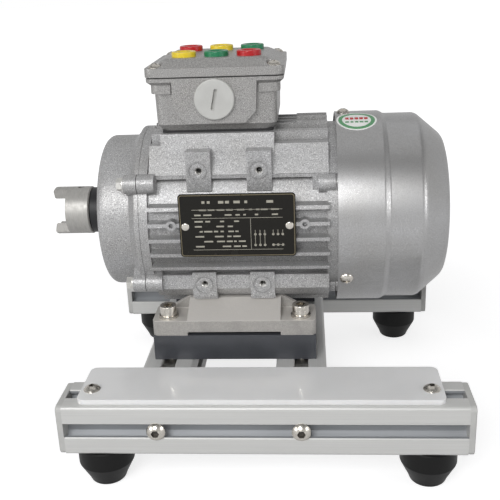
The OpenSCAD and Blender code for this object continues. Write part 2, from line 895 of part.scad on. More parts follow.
module stator_housing() {
  color("silver") at_motor() difference() {
    housing_outside();
    rod_x(-housing_front - over, housing_rear + over, stator_r + fit / 2);
    for (side = [0, 1], place = [-1, 1]) mirror([0, side, 0])
      translate([place * boss_along / 2, 0, 0]) {
        boss_hole(boss_apart / 2);
        boss_hole(-boss_apart / 2);
      }
    for (side = [-1, 1], place = [-1, 1])
      translate([place * boss_along / 2, side * boss_apart / 2, -boss_face - over])
        cylinder(h = boss_hole_l + over, r = boss_hole_r);
    translate([-box_left, 0, 0]) cylinder(h = pad_top + over, r = cable_hole_r);
    at_lugs()
      rod_x(-housing_front - over, -housing_front + end_screw_l - lug_on_shield_l + over,
        end_screw_r + fit);
    at_fan_lugs()
      rod_x(fan_head_x - fan_screw_l - over, housing_rear + over, end_screw_r + fit);
    for (side = [-1, 1]) {
      translate([plate_x + side * (plate_l / 2 - rivet_in), -fin_tip_r - over, fin_first])
        rotate([-90, 0, 0]) cylinder(h = ear_depth + over, r = rivet_r + fit);
      translate([plate_x + side * (plate_l / 2 + ear_out), -fin_tip_r - over, fin_first])
        rotate([-90, 0, 0]) cylinder(h = ear_depth / 2 + over, r = rivet_r);
    }
    for (side = [-1, 1], row = [-1, 1])
      translate([side * box_screw_x - box_left, row * box_screw_y, pad_top - box_screw_grip - over])
        cylinder(h = box_screw_grip + over + over, r = m4_r + fit);
  }
}
end_hole_end = 2;
end_screw_l = lug_on_shield_l + lug_on_housing_l - end_hole_end;
box_screw_x = 25;
box_screw_y = 22;
box_screw_grip = 8;

module nameplate() {
  color("black") at_motor() difference() {
    translate([plate_x, -plate_back, plate_z]) rotate([90, 0, 0])
      round_block(plate_l, plate_h, plate_t, plate_corner_r);
    for (side = [-1, 1])
      translate([plate_x + side * (plate_l / 2 - rivet_in), -plate_back + over, fin_first])
        rotate([90, 0, 0]) cylinder(h = plate_t + over + over, r = rivet_r + fit);
  }
}

module nameplate_rivets() {
  color("silver") at_motor()
    for (side = [-1, 1])
      translate([plate_x + side * (plate_l / 2 - rivet_in), -plate_back - plate_t, fin_first])
        rotate([90, 0, 0]) {
          translate([0, 0, -ear_depth]) cylinder(h = ear_depth, r = rivet_r);
          cylinder(h = rivet_head_h, r1 = rivet_head_r, r2 = rivet_r);
        }
}

// Sizes of the drive-end shield
cap_gap = 2;
drive_bearing_x = shoulder_x + shield_wall + cap_gap;
spigot_r = stator_r - fit;
bearing_hub_r = bearing_r + shield_wall;
shaft_clear = 0.6;
shaft_hole_r = journal_r + shaft_clear;
edge_steps = 6;
bearing_lip = 3;
lip_in_r = bearing_r - bearing_lip;
rim_edge = 1;

module drive_end_shield() {
  rim_x = -housing_front - rim_l;
  color("silver") at_motor() difference() {
    union() {
      turned_x(concat(
        [[shaft_hole_r, shoulder_x]],
        [for (k = [0:edge_steps]) let (a = 90 * k / edge_steps)
          [shield_r - shield_edge_r + shield_edge_r * sin(a),
            shoulder_x + shield_edge_r * (1 - cos(a))]],
        [
          [shield_r, rim_x - rim_l / 2], [end_ring_r - rim_edge, rim_x + rim_l / 4],
          [end_ring_r, rim_x + rim_l / 2], [end_ring_r, -housing_front],
          [spigot_r, -housing_front], [spigot_r, -housing_front + spigot_l],
          [spigot_r - shield_wall, -housing_front + spigot_l],
          [shield_r - shield_wall - rim_edge, drive_bearing_x],
          [bearing_hub_r, drive_bearing_x],
          [bearing_hub_r, drive_bearing_x + bearing_w],
          [bearing_r + fit / 2, drive_bearing_x + bearing_w],
          [bearing_r + fit / 2, drive_bearing_x], [lip_in_r, drive_bearing_x],
          [lip_in_r, shoulder_x + shield_wall], [shaft_hole_r, shoulder_x + shield_wall]
        ]
      ));
      at_lugs()
        lug_solid(-housing_front - lug_on_shield_l, -housing_front - lug_joint,
          lug_circle_r - shield_r + shield_wall / 2);
    }
    at_lugs()
      rod_x(-housing_front - lug_on_shield_l - over, -housing_front + over, end_screw_r + fit + fit);
  }
}

// Sizes of the fan-end shield, which sits inside the fan cover
fan_bearing_out = 4;
fan_bearing_x = housing_rear + fan_bearing_out;
washer_t = 0.8;
fan_shield_r = end_ring_r;
fan_rim_l = 5;
fan_lug_x = housing_rear + fan_rim_l + lug_joint;
fan_head_x = fan_lug_x - spot_depth;
fan_screw_l = fan_rim_l + lug_on_housing_l - end_hole_end;
cover_in_r = cover_r - cover_t;
cover_lug_w = 12;
cover_lug_l = 9;
cover_screw_in = 5;
cover_screw_x = cover_x + cover_screw_in;
cover_screw_grip = 6;
COVER_LUG_ANGLES = [0, 120, 240];

// Places its children at the cover's screws, with +Z outwards
module at_cover_screws() {
  for (a = COVER_LUG_ANGLES) rotate([a, 0, 0]) translate([cover_screw_x, 0, 0]) children();
}

module fan_end_shield() {
  bearing_end_x = fan_bearing_x + bearing_w + washer_t;
  color("silver") at_motor() difference() {
    union() {
      turned_x([
        [shaft_hole_r, bearing_end_x], [bearing_r + fit / 2, bearing_end_x],
        [bearing_r + fit / 2, fan_bearing_x],
        [bearing_hub_r, fan_bearing_x], [bearing_hub_r, housing_rear + fan_rim_l],
        [spigot_r - shield_wall, housing_rear + fan_rim_l / 2],
        [spigot_r - shield_wall, housing_rear - spigot_l],
        [spigot_r, housing_rear - spigot_l], [spigot_r, housing_rear], [fan_shield_r, housing_rear],
        [fan_shield_r, housing_rear + fan_rim_l],
        [bearing_hub_r + shield_wall, housing_rear + fan_rim_l + shield_wall],
        [bearing_hub_r, bearing_end_x + shield_wall], [shaft_hole_r, bearing_end_x + shield_wall]
      ]);
      at_fan_lugs() lug_solid(housing_rear + lug_joint, fan_lug_x, shield_wall);
      intersection() {
        rod_x(housing_rear, housing_rear + fan_rim_l + cover_lug_l, cover_in_r - fit);
        at_cover_screws()
          translate([cover_x - cover_screw_x, -cover_lug_w / 2, fan_shield_r - 2 * shield_wall])
            cube([cover_lug_l, cover_lug_w, 2 * shield_wall + cover_in_r - fan_shield_r]);
      }
    }
    at_fan_lugs() {
      rod_x(housing_rear - over, fan_lug_x + over, end_screw_r + fit + fit);
      rod_x(fan_head_x, fan_head_x + hex_flange_h + hex_h, hex_flange_r + fit);
    }
    at_cover_screws()
      translate([0, 0, cover_in_r - cover_screw_grip])
        cylinder(h = cover_screw_grip + over, r = m4_r + fit);
  }
}

// Hexagon screw along X: its head's face at x = 0 and its shank towards +X
module hex_screw(shank_l) {
  rod_x(0, shank_l, end_screw_r);
  rod_x(-hex_flange_h, 0, hex_flange_r);
  translate([-hex_flange_h - hex_h, 0, 0]) rotate([0, 90, 0]) cylinder(h = hex_h, r = hex_r, $fn = 6);
}

module end_shield_screws() {
  color("silver") at_motor() {
    at_lugs() translate([-housing_front - lug_on_shield_l, 0, 0]) hex_screw(end_screw_l);
    at_fan_lugs() translate([fan_head_x, 0, 0]) mirror([1, 0, 0]) hex_screw(fan_screw_l);
  }
}

// Sizes inside a ball bearing
ball_circle_r = (journal_r + bearing_r) / 2;
race_gap = 0.06;
race_r = ball_r + race_gap;
ring_gap_share = 0.38;
inner_ring_r = ball_circle_r - ball_r * ring_gap_share;
outer_ring_r = ball_circle_r + ball_r * ring_gap_share;
cage_t = 0.8;
cage_w = 6.4;
pocket_gap = 0.12;
pocket_r = ball_r + pocket_gap;

module race_groove() {
  rotate([0, 90, 0]) rotate_extrude() translate([ball_circle_r, 0]) circle(r = race_r);
}

module bearing_outer(x) {
  color("silver") at_motor() translate([x + bearing_w / 2, 0, 0]) difference() {
    tube_x(-bearing_w / 2, bearing_w / 2, bearing_r, outer_ring_r);
    race_groove();
  }
}

module bearing_inner(x) {
  color("silver") at_motor() translate([x + bearing_w / 2, 0, 0]) difference() {
    tube_x(-bearing_w / 2, bearing_w / 2, inner_ring_r, journal_r + fit / 2);
    race_groove();
  }
}

module bearing_balls(x) {
  color("gainsboro") at_motor() translate([x + bearing_w / 2, 0, 0]) {
    for (k = [0:ball_count - 1])
      rotate([360 * k / ball_count, 0, 0]) translate([0, 0, ball_circle_r]) sphere(r = ball_r);
    difference() {
      tube_x(-cage_w / 2, cage_w / 2,
        ball_circle_r + cage_t / 2, ball_circle_r - cage_t / 2);
      for (k = [0:ball_count - 1])
        rotate([360 * k / ball_count, 0, 0])
          cylinder(h = bearing_r, r = pocket_r);
    }
  }
}

module drive_bearing_outer() {
  bearing_outer(drive_bearing_x);
}

module drive_bearing_inner() {
  bearing_inner(drive_bearing_x);
}

module drive_bearing_balls() {
  bearing_balls(drive_bearing_x);
}

module fan_bearing_outer() {
  bearing_outer(fan_bearing_x);
}

module fan_bearing_inner() {
  bearing_inner(fan_bearing_x);
}

module fan_bearing_balls() {
  bearing_balls(fan_bearing_x);
}

module wave_washer() {
  x = fan_bearing_x + bearing_w;
  color("silver") at_motor() tube_x(x, x + washer_t, bearing_r - fit, lip_in_r);
}

seal_r = 14.5;
seal_groove = 3.5;
seal_w = hub_gap - run_gap;
seal_seat_share = 0.45;
seal_seat_l = seal_w * seal_seat_share;
seal_lip_h = 2;
seal_step = 1;

module shaft_seal() {
  seal_x = shoulder_x - hub_gap + run_gap / 2;
  end_x = shoulder_x - run_gap;
  color("black") at_motor() turned_x([
    [shaft_end_r + fit / 2, seal_x], [seal_r, seal_x], [seal_r, shoulder_x - seal_w / 2],
    [seal_r - seal_groove, shoulder_x - seal_w / 2 + seal_step],
    [seal_r - seal_groove, end_x - seal_lip_h],
    [seal_r - seal_step, end_x], [seal_r - seal_groove, end_x],
    [journal_r + fit / 2, end_x - seal_lip_h], [journal_r + fit / 2, shoulder_x - seal_seat_l],
    [shaft_end_r + fit / 2, shoulder_x - seal_seat_l]
  ]);
}

// Sizes of the shaft
shaft_tip_x = shoulder_x - shaft_end_l;
shaft_chamfer = 0.8;
fan_out = 8;
fan_x = fan_bearing_x + bearing_w + fan_out;
fan_seat_step = 0.5;
fan_seat_r = journal_r - fan_seat_step;
fan_hub_l = 14;
shaft_past_fan = 5;
shaft_rear_x = fan_x + fan_hub_l + shaft_past_fan;
circlip_t = 1;
circlip_depth = 0.5;
key_w = 4;
key_h = 4;
key_l = 8;
key_depth = 2.5;
key_start = 1.5;

module motor_shaft() {
  color("silver") at_motor() difference() {
    turned_x([
      [0, shaft_tip_x], [shaft_end_r - shaft_chamfer, shaft_tip_x],
      [shaft_end_r, shaft_tip_x + shaft_chamfer],
      [shaft_end_r, shoulder_x - seal_seat_l], [journal_r, shoulder_x - seal_seat_l],
      [journal_r, drive_bearing_x + bearing_w], [core_shaft_r, drive_bearing_x + bearing_w],
      [core_shaft_r, fan_bearing_x], [journal_r, fan_bearing_x], [journal_r, fan_x - shaft_chamfer],
      [fan_seat_r, fan_x - shaft_chamfer], [fan_seat_r, fan_x + fan_hub_l],
      [fan_seat_r - circlip_depth, fan_x + fan_hub_l],
      [fan_seat_r - circlip_depth, fan_x + fan_hub_l + circlip_t],
      [fan_seat_r, fan_x + fan_hub_l + circlip_t], [fan_seat_r, shaft_rear_x], [0, shaft_rear_x]
    ]);
    translate([shaft_tip_x + key_start, -key_w / 2, shaft_end_r - key_depth])
      cube([key_l, key_w, key_depth + over]);
  }
}

module hub_key() {
  color("silver") at_motor()
    translate([shaft_tip_x + key_start + fit, -key_w / 2 + fit, shaft_end_r - key_depth])
      cube([key_l - 2 * fit, key_w - 2 * fit, key_h]);
}

rotor_r = stator_bore_r - air_gap;
bar_cover_t = 0.8;
bar_circle_r = rotor_r - cage_bar_r - bar_cover_t;
ring_step = 0.5;
ring_w = 6;

module rotor_core() {
  color("dimgray") at_motor() difference() {
    tube_x(-core_l / 2, core_l / 2, rotor_r, core_shaft_r + fit / 2);
    for (k = [0:bar_count - 1])
      rotate([360 * k / bar_count, 0, 0]) translate([0, 0, bar_circle_r])
        rod_x(-core_l / 2 - over, core_l / 2 + over, cage_bar_r + fit / 2);
  }
}

module rotor_cage() {
  ring_out_r = rotor_r - ring_step;
  ring_in_r = bar_circle_r - ring_w;
  color("gainsboro") at_motor() {
    tube_x(-core_l / 2 - end_ring_l, -core_l / 2, ring_out_r, ring_in_r);
    tube_x(core_l / 2, core_l / 2 + end_ring_l, ring_out_r, ring_in_r);
    for (k = [0:bar_count - 1])
      rotate([360 * k / bar_count, 0, 0]) translate([0, 0, bar_circle_r])
        rod_x(-core_l / 2 - over, core_l / 2 + over, cage_bar_r);
  }
}

slot_count = 24;
stator_slot_r = 3.2;
tooth_tip_t = 2;
stator_slot_circle_r = stator_bore_r + stator_slot_r + tooth_tip_t;
stator_tooth_gap = 1.2;

// Places its children at the stator's slots
module at_stator_slots() {
  for (k = [0:slot_count - 1]) rotate([360 * (k + 1 / 2) / slot_count, 0, 0]) children();
}

module stator_core() {
  color("dimgray") at_motor() difference() {
    tube_x(-core_l / 2, core_l / 2, stator_r, stator_bore_r);
    at_stator_slots() {
      translate([0, 0, stator_slot_circle_r])
        rod_x(-core_l / 2 - over, core_l / 2 + over, stator_slot_r - fit);
      translate([-core_l / 2 - over, -stator_tooth_gap, stator_bore_r - over])
        cube([core_l + over + over, 2 * stator_tooth_gap, stator_slot_r + over + over]);
    }
  }
}

module stator_winding() {
  in_r = stator_slot_circle_r - stator_slot_r + 2 * fit;
  out_r = stator_slot_circle_r + 2 * stator_slot_r;
  edge = 3;
  color("peru") at_motor() {
    for (side = [0, 1]) mirror([side, 0, 0])
      turned_x([
        [in_r, core_l / 2], [out_r, core_l / 2], [out_r, core_l / 2 + winding_l - edge],
        [out_r - edge, core_l / 2 + winding_l], [in_r + edge, core_l / 2 + winding_l],
        [in_r, core_l / 2 + winding_l - edge]
      ]);
    at_stator_slots() translate([0, 0, stator_slot_circle_r])
      rod_x(-core_l / 2 - over, core_l / 2 + over, stator_slot_r - 2 * fit);
  }
}

claw_chamfer = 1.5;
set_screw_in = 7;
set_screw_x = hub_x - set_screw_in;
set_screw_sunk = 1;
key_top = shaft_end_r - key_depth + key_h;

// Wedge round the upright direction that covers the angle between two claws
module gap_wedge(x0, x1) {
  reach = 2 * hub_r;
  half_w = reach * tan(90 - claw_angle / 2);
  translate([x0, 0, 0]) rotate([90, 0, 90]) linear_extrude(height = x1 - x0)
    polygon([[0, 0], [half_w, reach], [-half_w, reach]]);
}

module coupling_hub() {
  body_x = hub_x - hub_l;
  tip_x = body_x - claw_l;
  color("silver") at_motor() difference() {
    turned_x([
      [0, body_x], [claw_in_r, body_x], [claw_in_r, tip_x + claw_chamfer],
      [claw_in_r + claw_chamfer, tip_x], [hub_r - claw_chamfer, tip_x],
      [hub_r, tip_x + claw_chamfer], [hub_r, hub_x], [0, hub_x]
    ]);
    for (turn = [90, 270])
      rotate([turn - claw_turn, 0, 0]) gap_wedge(tip_x - over, body_x);
    rod_x(body_x - over, hub_x + over, shaft_end_r + fit / 2);
    translate([body_x - over, -key_w / 2, 0])
      cube([hub_l + over + over, key_w, key_top + fit]);
    translate([set_screw_x, 0, 0]) cylinder(h = hub_r + over, r = m4_r + fit);
  }
}

module hub_set_screw() {
  screw_l = hub_r - key_top - 2 * fit - set_screw_sunk;
  color("dimgray") at_motor() translate([set_screw_x, 0, key_top + fit]) difference() {
    cylinder(h = screw_l, r = m4_r);
    translate([0, 0, screw_l / 2]) cylinder(h = screw_l, r = m4_r / 2, $fn = 6);
  }
}

fan_disc_t = 2.4;
blade_t = 2;
fan_hub_r = 11;

module cooling_fan() {
  color("whitesmoke") at_motor() difference() {
    union() {
      rod_x(fan_x, fan_x + fan_hub_l, fan_hub_r);
      rod_x(fan_x, fan_x + fan_disc_t, fan_r - blade_t);
      for (k = [0:blade_count - 1])
        rotate([360 * k / blade_count, 0, 0])
          translate([fan_x, -blade_t / 2, fan_hub_r - blade_t])
            cube([blade_l, blade_t, fan_r - fan_hub_r + blade_t]);
    }
    rod_x(fan_x - over, fan_x + fan_hub_l + over, fan_seat_r + fit / 2);
  }
}

module fan_circlip() {
  x = fan_x + fan_hub_l;
  color("dimgray") at_motor() difference() {
    tube_x(x + fit, x + circlip_t - fit,
      fan_seat_r + 2 * circlip_depth, fan_seat_r - circlip_depth + fit);
    translate([x - over, -circlip_t, 0]) cube([circlip_t + 2 * over, 2 * circlip_t, 2 * fan_seat_r]);
  }
}

cover_blend_l = 2.5;
grille_r = 38;
grille_bar = 2.2;
grille_pitch = 5.4;
grille_rings = 5;
grille_spokes = 6;

// Half section of the cover's outer skin, drawn in by a wall
function cover_points(wall) = [
  [cover_r - wall, cover_x], [cover_r - wall, cover_x + cover_wide_l],
  [cover_r - cover_step - wall, cover_x + cover_wide_l + cover_blend_l],
  [cover_r - cover_step - wall, cover_x + cover_straight_l],
  [cover_r - cover_step - wall - cover_blend_l / 2, cover_x + cover_straight_l + cover_blend_l],
  [cover_end_r + cover_blend_l / 4 - wall / 2, cover_x + cover_straight_l + cover_slope_l - wall],
  [cover_end_r - cover_blend_l - wall / 2, cover_end_x - wall], [grille_r, cover_end_x - wall]
];

function backwards(points) = [for (k = [1:len(points)]) points[len(points) - k]];

module fan_cover() {
  outer = cover_points(0);
  inner = cover_points(cover_t);
  color("silver") at_motor() {
    difference() {
      turned_x(concat(outer, backwards(inner)));
      at_cover_screws() cylinder(h = cover_r + over, r = m4_r + fit);
    }
    translate([cover_end_x - cover_t, 0, 0]) {
      for (k = [0:grille_rings - 1])
        tube_x(0, cover_t, grille_r - (k + 1) * grille_pitch + grille_bar,
          grille_r - (k + 1) * grille_pitch);
      for (k = [0:grille_spokes - 1])
        rotate([360 * k / grille_spokes, 0, 0])
          translate([0, -grille_bar / 2, 0]) cube([cover_t, grille_bar, grille_r + over]);
      rod_x(0, cover_t, grille_r - grille_rings * grille_pitch);
    }
  }
}

module fan_cover_screws() {
  color("silver") at_motor() at_cover_screws()
    translate([0, 0, cover_r])
      pan_screw(m4_r, cover_t + cover_screw_grip - screw_short, m4_pan_r, m4_pan_h);
}

// Sizes of the terminal box
box_z = pad_top + box_gasket_t;
box_top = box_z + box_h;
lid_screw_in = 6;
lid_screw_x = lid_l / 2 - lid_screw_in;
lid_screw_y = lid_d / 2 - lid_screw_in;
box_in = 4.2;
box_low_in = 3;
box_draft = 0.5;
slab_t = 0.2;
box_room_in = box_in + box_wall + box_draft;
box_room_r = 3;
box_chamfer_h = 3.6;
box_rim_in = 0.4;
box_rim_h = 3.6;
box_rim_slope = 1.6;
post_in = 2.6;
post_w = 14.5;
post_h = 8.8;
panel_proud = 0.3;
panel_face = lid_d / 2 - box_rim_in + panel_proud;
panel_half_share = 0.61;
panel_draft = 1;
panel_bend_in = 7.3;
panel_bend_up = 11.5;
panel_low_up = 4.8;
panel_bend_z = box_z + panel_bend_up;
panel_low_z = box_z + panel_low_up;
plug_below_top = 0.4;
plug_z = box_top - plug_below_top - plug_r;
plug_thread_r = 10;
plug_head_t = 2.6;
plug_slot_w = 1.9;
plug_slot_l = 12;
plug_slot_turn = 12;
plug_thread_l = 9;
plug_wall = 2;
board_stand_h = 3;
board_post_in = 4;
board_post_r = 3;
board_corner_r = 3;
board_l = 46;
board_d = 30;
board_t = 4;
stud_x = 14;
stud_y = 8;

module at_box() {
  at_motor() translate([-box_left, 0, 0]) children();
}

// Places its children at the four lid screws
module at_lid_screws() {
  for (sx = [-1, 1], sy = [-1, 1]) translate([sx * lid_screw_x, sy * lid_screw_y, 0]) children();
}

// Thin slab of the box's outline, drawn in by a distance on every side
module box_slab(z, inset, r) {
  translate([0, 0, z])
    round_block(lid_l - 2 * inset, lid_d - 2 * inset, slab_t, r, $fn = 32);
}

module box_shell() {
  hull() {
    box_slab(box_z, box_in + box_low_in, lid_corner_r);
    box_slab(box_z + box_chamfer_h, box_in + box_draft, lid_corner_r);
    box_slab(box_top - slab_t, box_in, lid_corner_r);
  }
  hull() {
    box_slab(box_top - slab_t, box_rim_in, lid_corner_r);
    box_slab(box_top - box_rim_h + box_rim_slope, box_rim_in, lid_corner_r);
    box_slab(box_top - box_rim_h, box_rim_in + box_rim_slope, lid_corner_r);
  }
}

// Square blocks in the box's four corners, ending at its top
module corner_blocks(w, h) {
  for (sx = [-1, 1], sy = [-1, 1])
    translate([sx * (lid_l - w) / 2, sy * (lid_d - w) / 2, box_top - h])
      linear_extrude(height = h) square(w, center = true);
}

// Raised panel on the -Y wall, round the blanking plug
module box_panel() {
  half = lid_l / 2 * panel_half_share;
  back = lid_d / 2 - box_in - box_draft;
  translate([0, -back, 0]) rotate([90, 0, 0]) linear_extrude(height = panel_face - back) polygon([
    [-half, box_top], [panel_draft - half, panel_bend_z], [panel_bend_in - half, panel_low_z],
    [half - panel_bend_in, panel_low_z], [half - panel_draft, panel_bend_z], [half, box_top]
  ]);
}

// Outline that the corner posts keep within
module post_room() {
  translate([0, 0, box_top - post_h])
    round_block(lid_l - 2 * post_in, lid_d - 2 * post_in, post_h, lid_corner_r);
}

module terminal_box() {
  color("silver") at_box() difference() {
    union() {
      difference() {
        union() {
          box_shell();
          for (side = [0, 1]) mirror([0, side, 0]) box_panel();
          intersection() {
            post_room();
            corner_blocks(post_w, post_h);
          }
        }
        translate([0, 0, box_z + box_wall]) round_block(inner_l, inner_d, box_h, box_room_r);
      }
      intersection() {
        post_room();
        at_lid_screws() translate([0, 0, box_top - post_h]) cylinder(h = post_h, r = lid_corner_r);
      }
      for (side = [-1, 1])
        translate([side * (board_l / 2 - board_post_in), 0, box_z + box_wall / 2])
          cylinder(h = board_stand_h + box_wall / 2, r = board_post_r);
    }
    at_lid_screws() translate([0, 0, box_top - lid_screw_grip])
      cylinder(h = lid_screw_grip + over, r = m4_r + fit);
    translate([0, 0, box_z - over]) cylinder(h = box_wall + 2 * over, r = cable_hole_r);
    for (side = [-1, 1], row = [-1, 1])
      translate([side * box_screw_x, row * box_screw_y, box_z - over])
        cylinder(h = box_wall + 2 * over, r = m4_r + 2 * fit);
    translate([0, -lid_d / 2, plug_z]) rotate([-90, 0, 0])
      translate([0, 0, -over]) cylinder(h = lid_d / 4, r = plug_thread_r + fit);
  }
}
lid_screw_grip = 7.4;

lid_z = box_top + lid_gasket_t;
lid_top = lid_z + lid_rim_t + lid_rise;
inner_l = lid_l - 2 * box_room_in;
inner_d = lid_d - 2 * box_room_in;
lid_edge_in = 2;

box_gasket_in = box_in + box_low_in;
lid_gasket_in = 2.4;

module box_gasket() {
  color("black") at_box() difference() {
    translate([0, 0, pad_top])
      round_block(lid_l - 2 * box_gasket_in, lid_d - 2 * box_gasket_in, box_gasket_t, pad_corner_r);
    translate([0, 0, pad_top - over]) cylinder(h = box_gasket_t + 2 * over, r = cable_hole_r);
    for (side = [-1, 1], row = [-1, 1])
      translate([side * box_screw_x, row * box_screw_y, pad_top - over])
        cylinder(h = box_gasket_t + 2 * over, r = m4_r + 2 * fit);
  }
}

module box_screws() {
  color("silver") at_box()
    for (side = [-1, 1], row = [-1, 1])
      translate([side * box_screw_x, row * box_screw_y, box_z + box_wall])
        pan_screw(m4_r, box_wall + box_gasket_t + box_screw_grip - screw_short,
          m4_pan_r, m4_pan_h);
}

module lid_gasket() {
  color("black") at_box() translate([0, 0, box_top]) difference() {
    round_block(lid_l - 2 * lid_gasket_in, lid_d - 2 * lid_gasket_in, lid_gasket_t, lid_corner_r);
    difference() {
      translate([0, 0, -over])
        round_block(inner_l, inner_d, lid_gasket_t + 2 * over, box_room_r);
      at_lid_screws() translate([0, 0, -2 * over])
        cylinder(h = lid_gasket_t + 4 * over, r = lid_corner_r);
    }
    at_lid_screws() translate([0, 0, -over]) cylinder(h = lid_gasket_t + 2 * over, r = m4_r + 2 * fit);
  }
}

// Places its children at the sockets of one row and one column
module at_socket(col, row) {
  translate([col * socket_along, row * socket_across / 2, lid_top]) children();
}

// Places its children at all six sockets
module at_sockets() {
  for (col = [-1, 0, 1], row = [-1, 1]) at_socket(col, row) children();
}

module terminal_lid() {
  color("silver") at_box() difference() {
    union() {
      translate([0, 0, lid_z]) round_block(lid_l, lid_d, lid_rim_t, lid_corner_r);
      hull() {
        box_slab(lid_z + lid_rim_t - slab_t, lid_edge_in, lid_corner_r);
        box_slab(lid_top - slab_t, lid_slope_w, lid_corner_r / 2);
      }
    }
    difference() {
      translate([0, 0, lid_z - over])
        round_block(inner_l, inner_d, lid_rim_t + over - box_wall, box_room_r);
      at_lid_screws() translate([0, 0, lid_z - 2 * over])
        cylinder(h = lid_rim_t + 2 * over, r = lid_corner_r);
    }
    translate([0, 0, lid_z])
      round_block(lid_flat_l - 2 * lid_side_wall, lid_flat_d - 2 * lid_row_wall,
        lid_top - box_wall - lid_z, lid_corner_r / 2);
    at_lid_screws() {
      translate([0, 0, lid_z - over])
        cylinder(h = lid_rim_t + lid_rise + 2 * over, r = m4_r + 2 * fit);
      translate([0, 0, lid_z + lid_rim_t]) cylinder(h = lid_rise, r = m4_pan_r + fit);
    }
    at_sockets() translate([0, 0, -box_wall - over])
      cylinder(h = box_wall + 2 * over, r = socket_body_r + fit);
  }
}

module lid_screws() {
  color("silver") at_box() at_lid_screws()
    translate([0, 0, lid_z + lid_rim_t])
      pan_screw(m4_r, lid_rim_t + lid_gasket_t + lid_screw_grip - screw_short,
        m4_pan_r, m4_pan_h);
}

module blanking_plug() {
  color("lightgray") at_box() translate([0, -panel_face - fit, plug_z]) rotate([90, 0, 0]) difference() {
    union() {
      cylinder(h = plug_head_t, r = plug_r);
      translate([0, 0, -plug_thread_l]) cylinder(h = plug_thread_l, r = plug_thread_r);
    }
    rotate([0, 0, 90 - plug_slot_turn])
      translate([-plug_slot_l / 2, -plug_slot_w / 2, plug_head_t / 2])
        cube([plug_slot_l, plug_slot_w, plug_head_t]);
    translate([0, 0, -plug_thread_l - over])
      cylinder(h = plug_thread_l + over, r = plug_thread_r - plug_wall);
  }
}

stud_l = 11;
stud_sunk = 1;
stud_nut_r = 3.8;
stud_nut_h = 3;

// Places its children at the six studs, on top of the terminal board
module at_studs() {
  for (col = [-1, 0, 1], row = [-1, 1])
    translate([col * stud_x, row * stud_y, box_z + box_wall + board_stand_h + board_t]) children();
}

module terminal_board() {
  color("saddlebrown") at_box() difference() {
    translate([0, 0, box_z + box_wall + board_stand_h])
      round_block(board_l, board_d, board_t, board_corner_r);
    at_studs() translate([0, 0, -board_t - over]) cylinder(h = board_t + 2 * over, r = m4_r + fit);
  }
}

module terminal_studs() {
  color("goldenrod") at_box() at_studs() {
    translate([0, 0, stud_sunk - board_t]) cylinder(h = stud_l, r = m4_r);
    cylinder(h = stud_nut_h, r = stud_nut_r, $fn = 6);
  }
}

socket_floor_t = 3;
socket_bevel = 0.6;

// Insulating body of a socket, its flange resting on z = 0
module socket_body() {
  difference() {
    union() {
      rotate_extrude() polygon([
        [0, 0], [socket_flange_r, 0], [socket_flange_r, socket_flange_h - socket_bevel],
        [socket_flange_r - socket_bevel, socket_flange_h], [0, socket_flange_h]
      ]);
      translate([0, 0, -socket_depth]) cylinder(h = socket_depth, r = socket_body_r);
    }
    translate([0, 0, socket_floor_t - socket_depth])
      cylinder(h = socket_depth + socket_flange_h, r = shroud_r);
    translate([0, 0, -socket_depth - over])
      cylinder(h = socket_floor_t + 2 * over, r = contact_r + fit);
  }
}
contact_r = 2.9;
contact_low = 2;
contact_tail = 4;

module yellow_sockets() {
  color("gold") at_box() {
    at_socket(-1, -1) socket_body();
    at_socket(0, 1) socket_body();
  }
}

module green_sockets() {
  color("seagreen") at_box() {
    at_socket(0, -1) socket_body();
    at_socket(1, 1) socket_body();
  }
}

module red_sockets() {
  color("crimson") at_box() {
    at_socket(1, -1) socket_body();
    at_socket(-1, 1) socket_body();
  }
}

module socket_contacts() {
  color("goldenrod") at_box() at_sockets() difference() {
    translate([0, 0, -socket_depth - contact_tail])
      cylinder(h = socket_depth + contact_tail + socket_flange_h - contact_low, r = contact_r);
    translate([0, 0, -socket_depth + socket_floor_t])
      cylinder(h = socket_depth + socket_flange_h, r = pin_bore_r);
  }
}

socket_nut_h = 3;

module socket_nuts() {
  color("silver") at_box() at_sockets()
    translate([0, 0, -box_wall - socket_nut_h]) difference() {
      cylinder(h = socket_nut_h, r = socket_nut_r, $fn = 6);
      translate([0, 0, -over]) cylinder(h = socket_nut_h + 2 * over, r = socket_body_r + fit);
    }
}

front_rail();
rear_rail();
left_cross_rail();
right_cross_rail();
rail_end_caps();
rubber_feet();
foot_screws();
foot_nuts();
frame_screws();
label_plate();
label_screws();
label_nuts();
front_spacer_bar();
rear_spacer_bar();
front_motor_foot();
rear_motor_foot();
foot_bolts();
foot_washers();
foot_bolt_nuts();
motor_foot_screws();
stator_housing();
nameplate();
nameplate_rivets();
drive_end_shield();
fan_end_shield();
end_shield_screws();
drive_bearing_outer();
drive_bearing_inner();
drive_bearing_balls();
fan_bearing_outer();
fan_bearing_inner();
fan_bearing_balls();
wave_washer();
shaft_seal();
motor_shaft();
rotor_core();
rotor_cage();
stator_core();
stator_winding();
coupling_hub();
hub_key();
hub_set_screw();
cooling_fan();
fan_circlip();
fan_cover();
fan_cover_screws();
terminal_box();
box_gasket();
box_screws();
terminal_lid();
lid_gasket();
lid_screws();
blanking_plug();
terminal_board();
terminal_studs();
yellow_sockets();
green_sockets();
red_sockets();
socket_contacts();
socket_nuts();
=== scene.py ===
"""Demonstration electric motor on a slotted aluminium base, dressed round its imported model."""

from __future__ import annotations

import logging
import math
import random
from dataclasses import dataclass, field
from enum import Enum, IntEnum
from typing import Callable, Iterable, Sequence

import bmesh
import bpy
from mathutils import Matrix, Vector


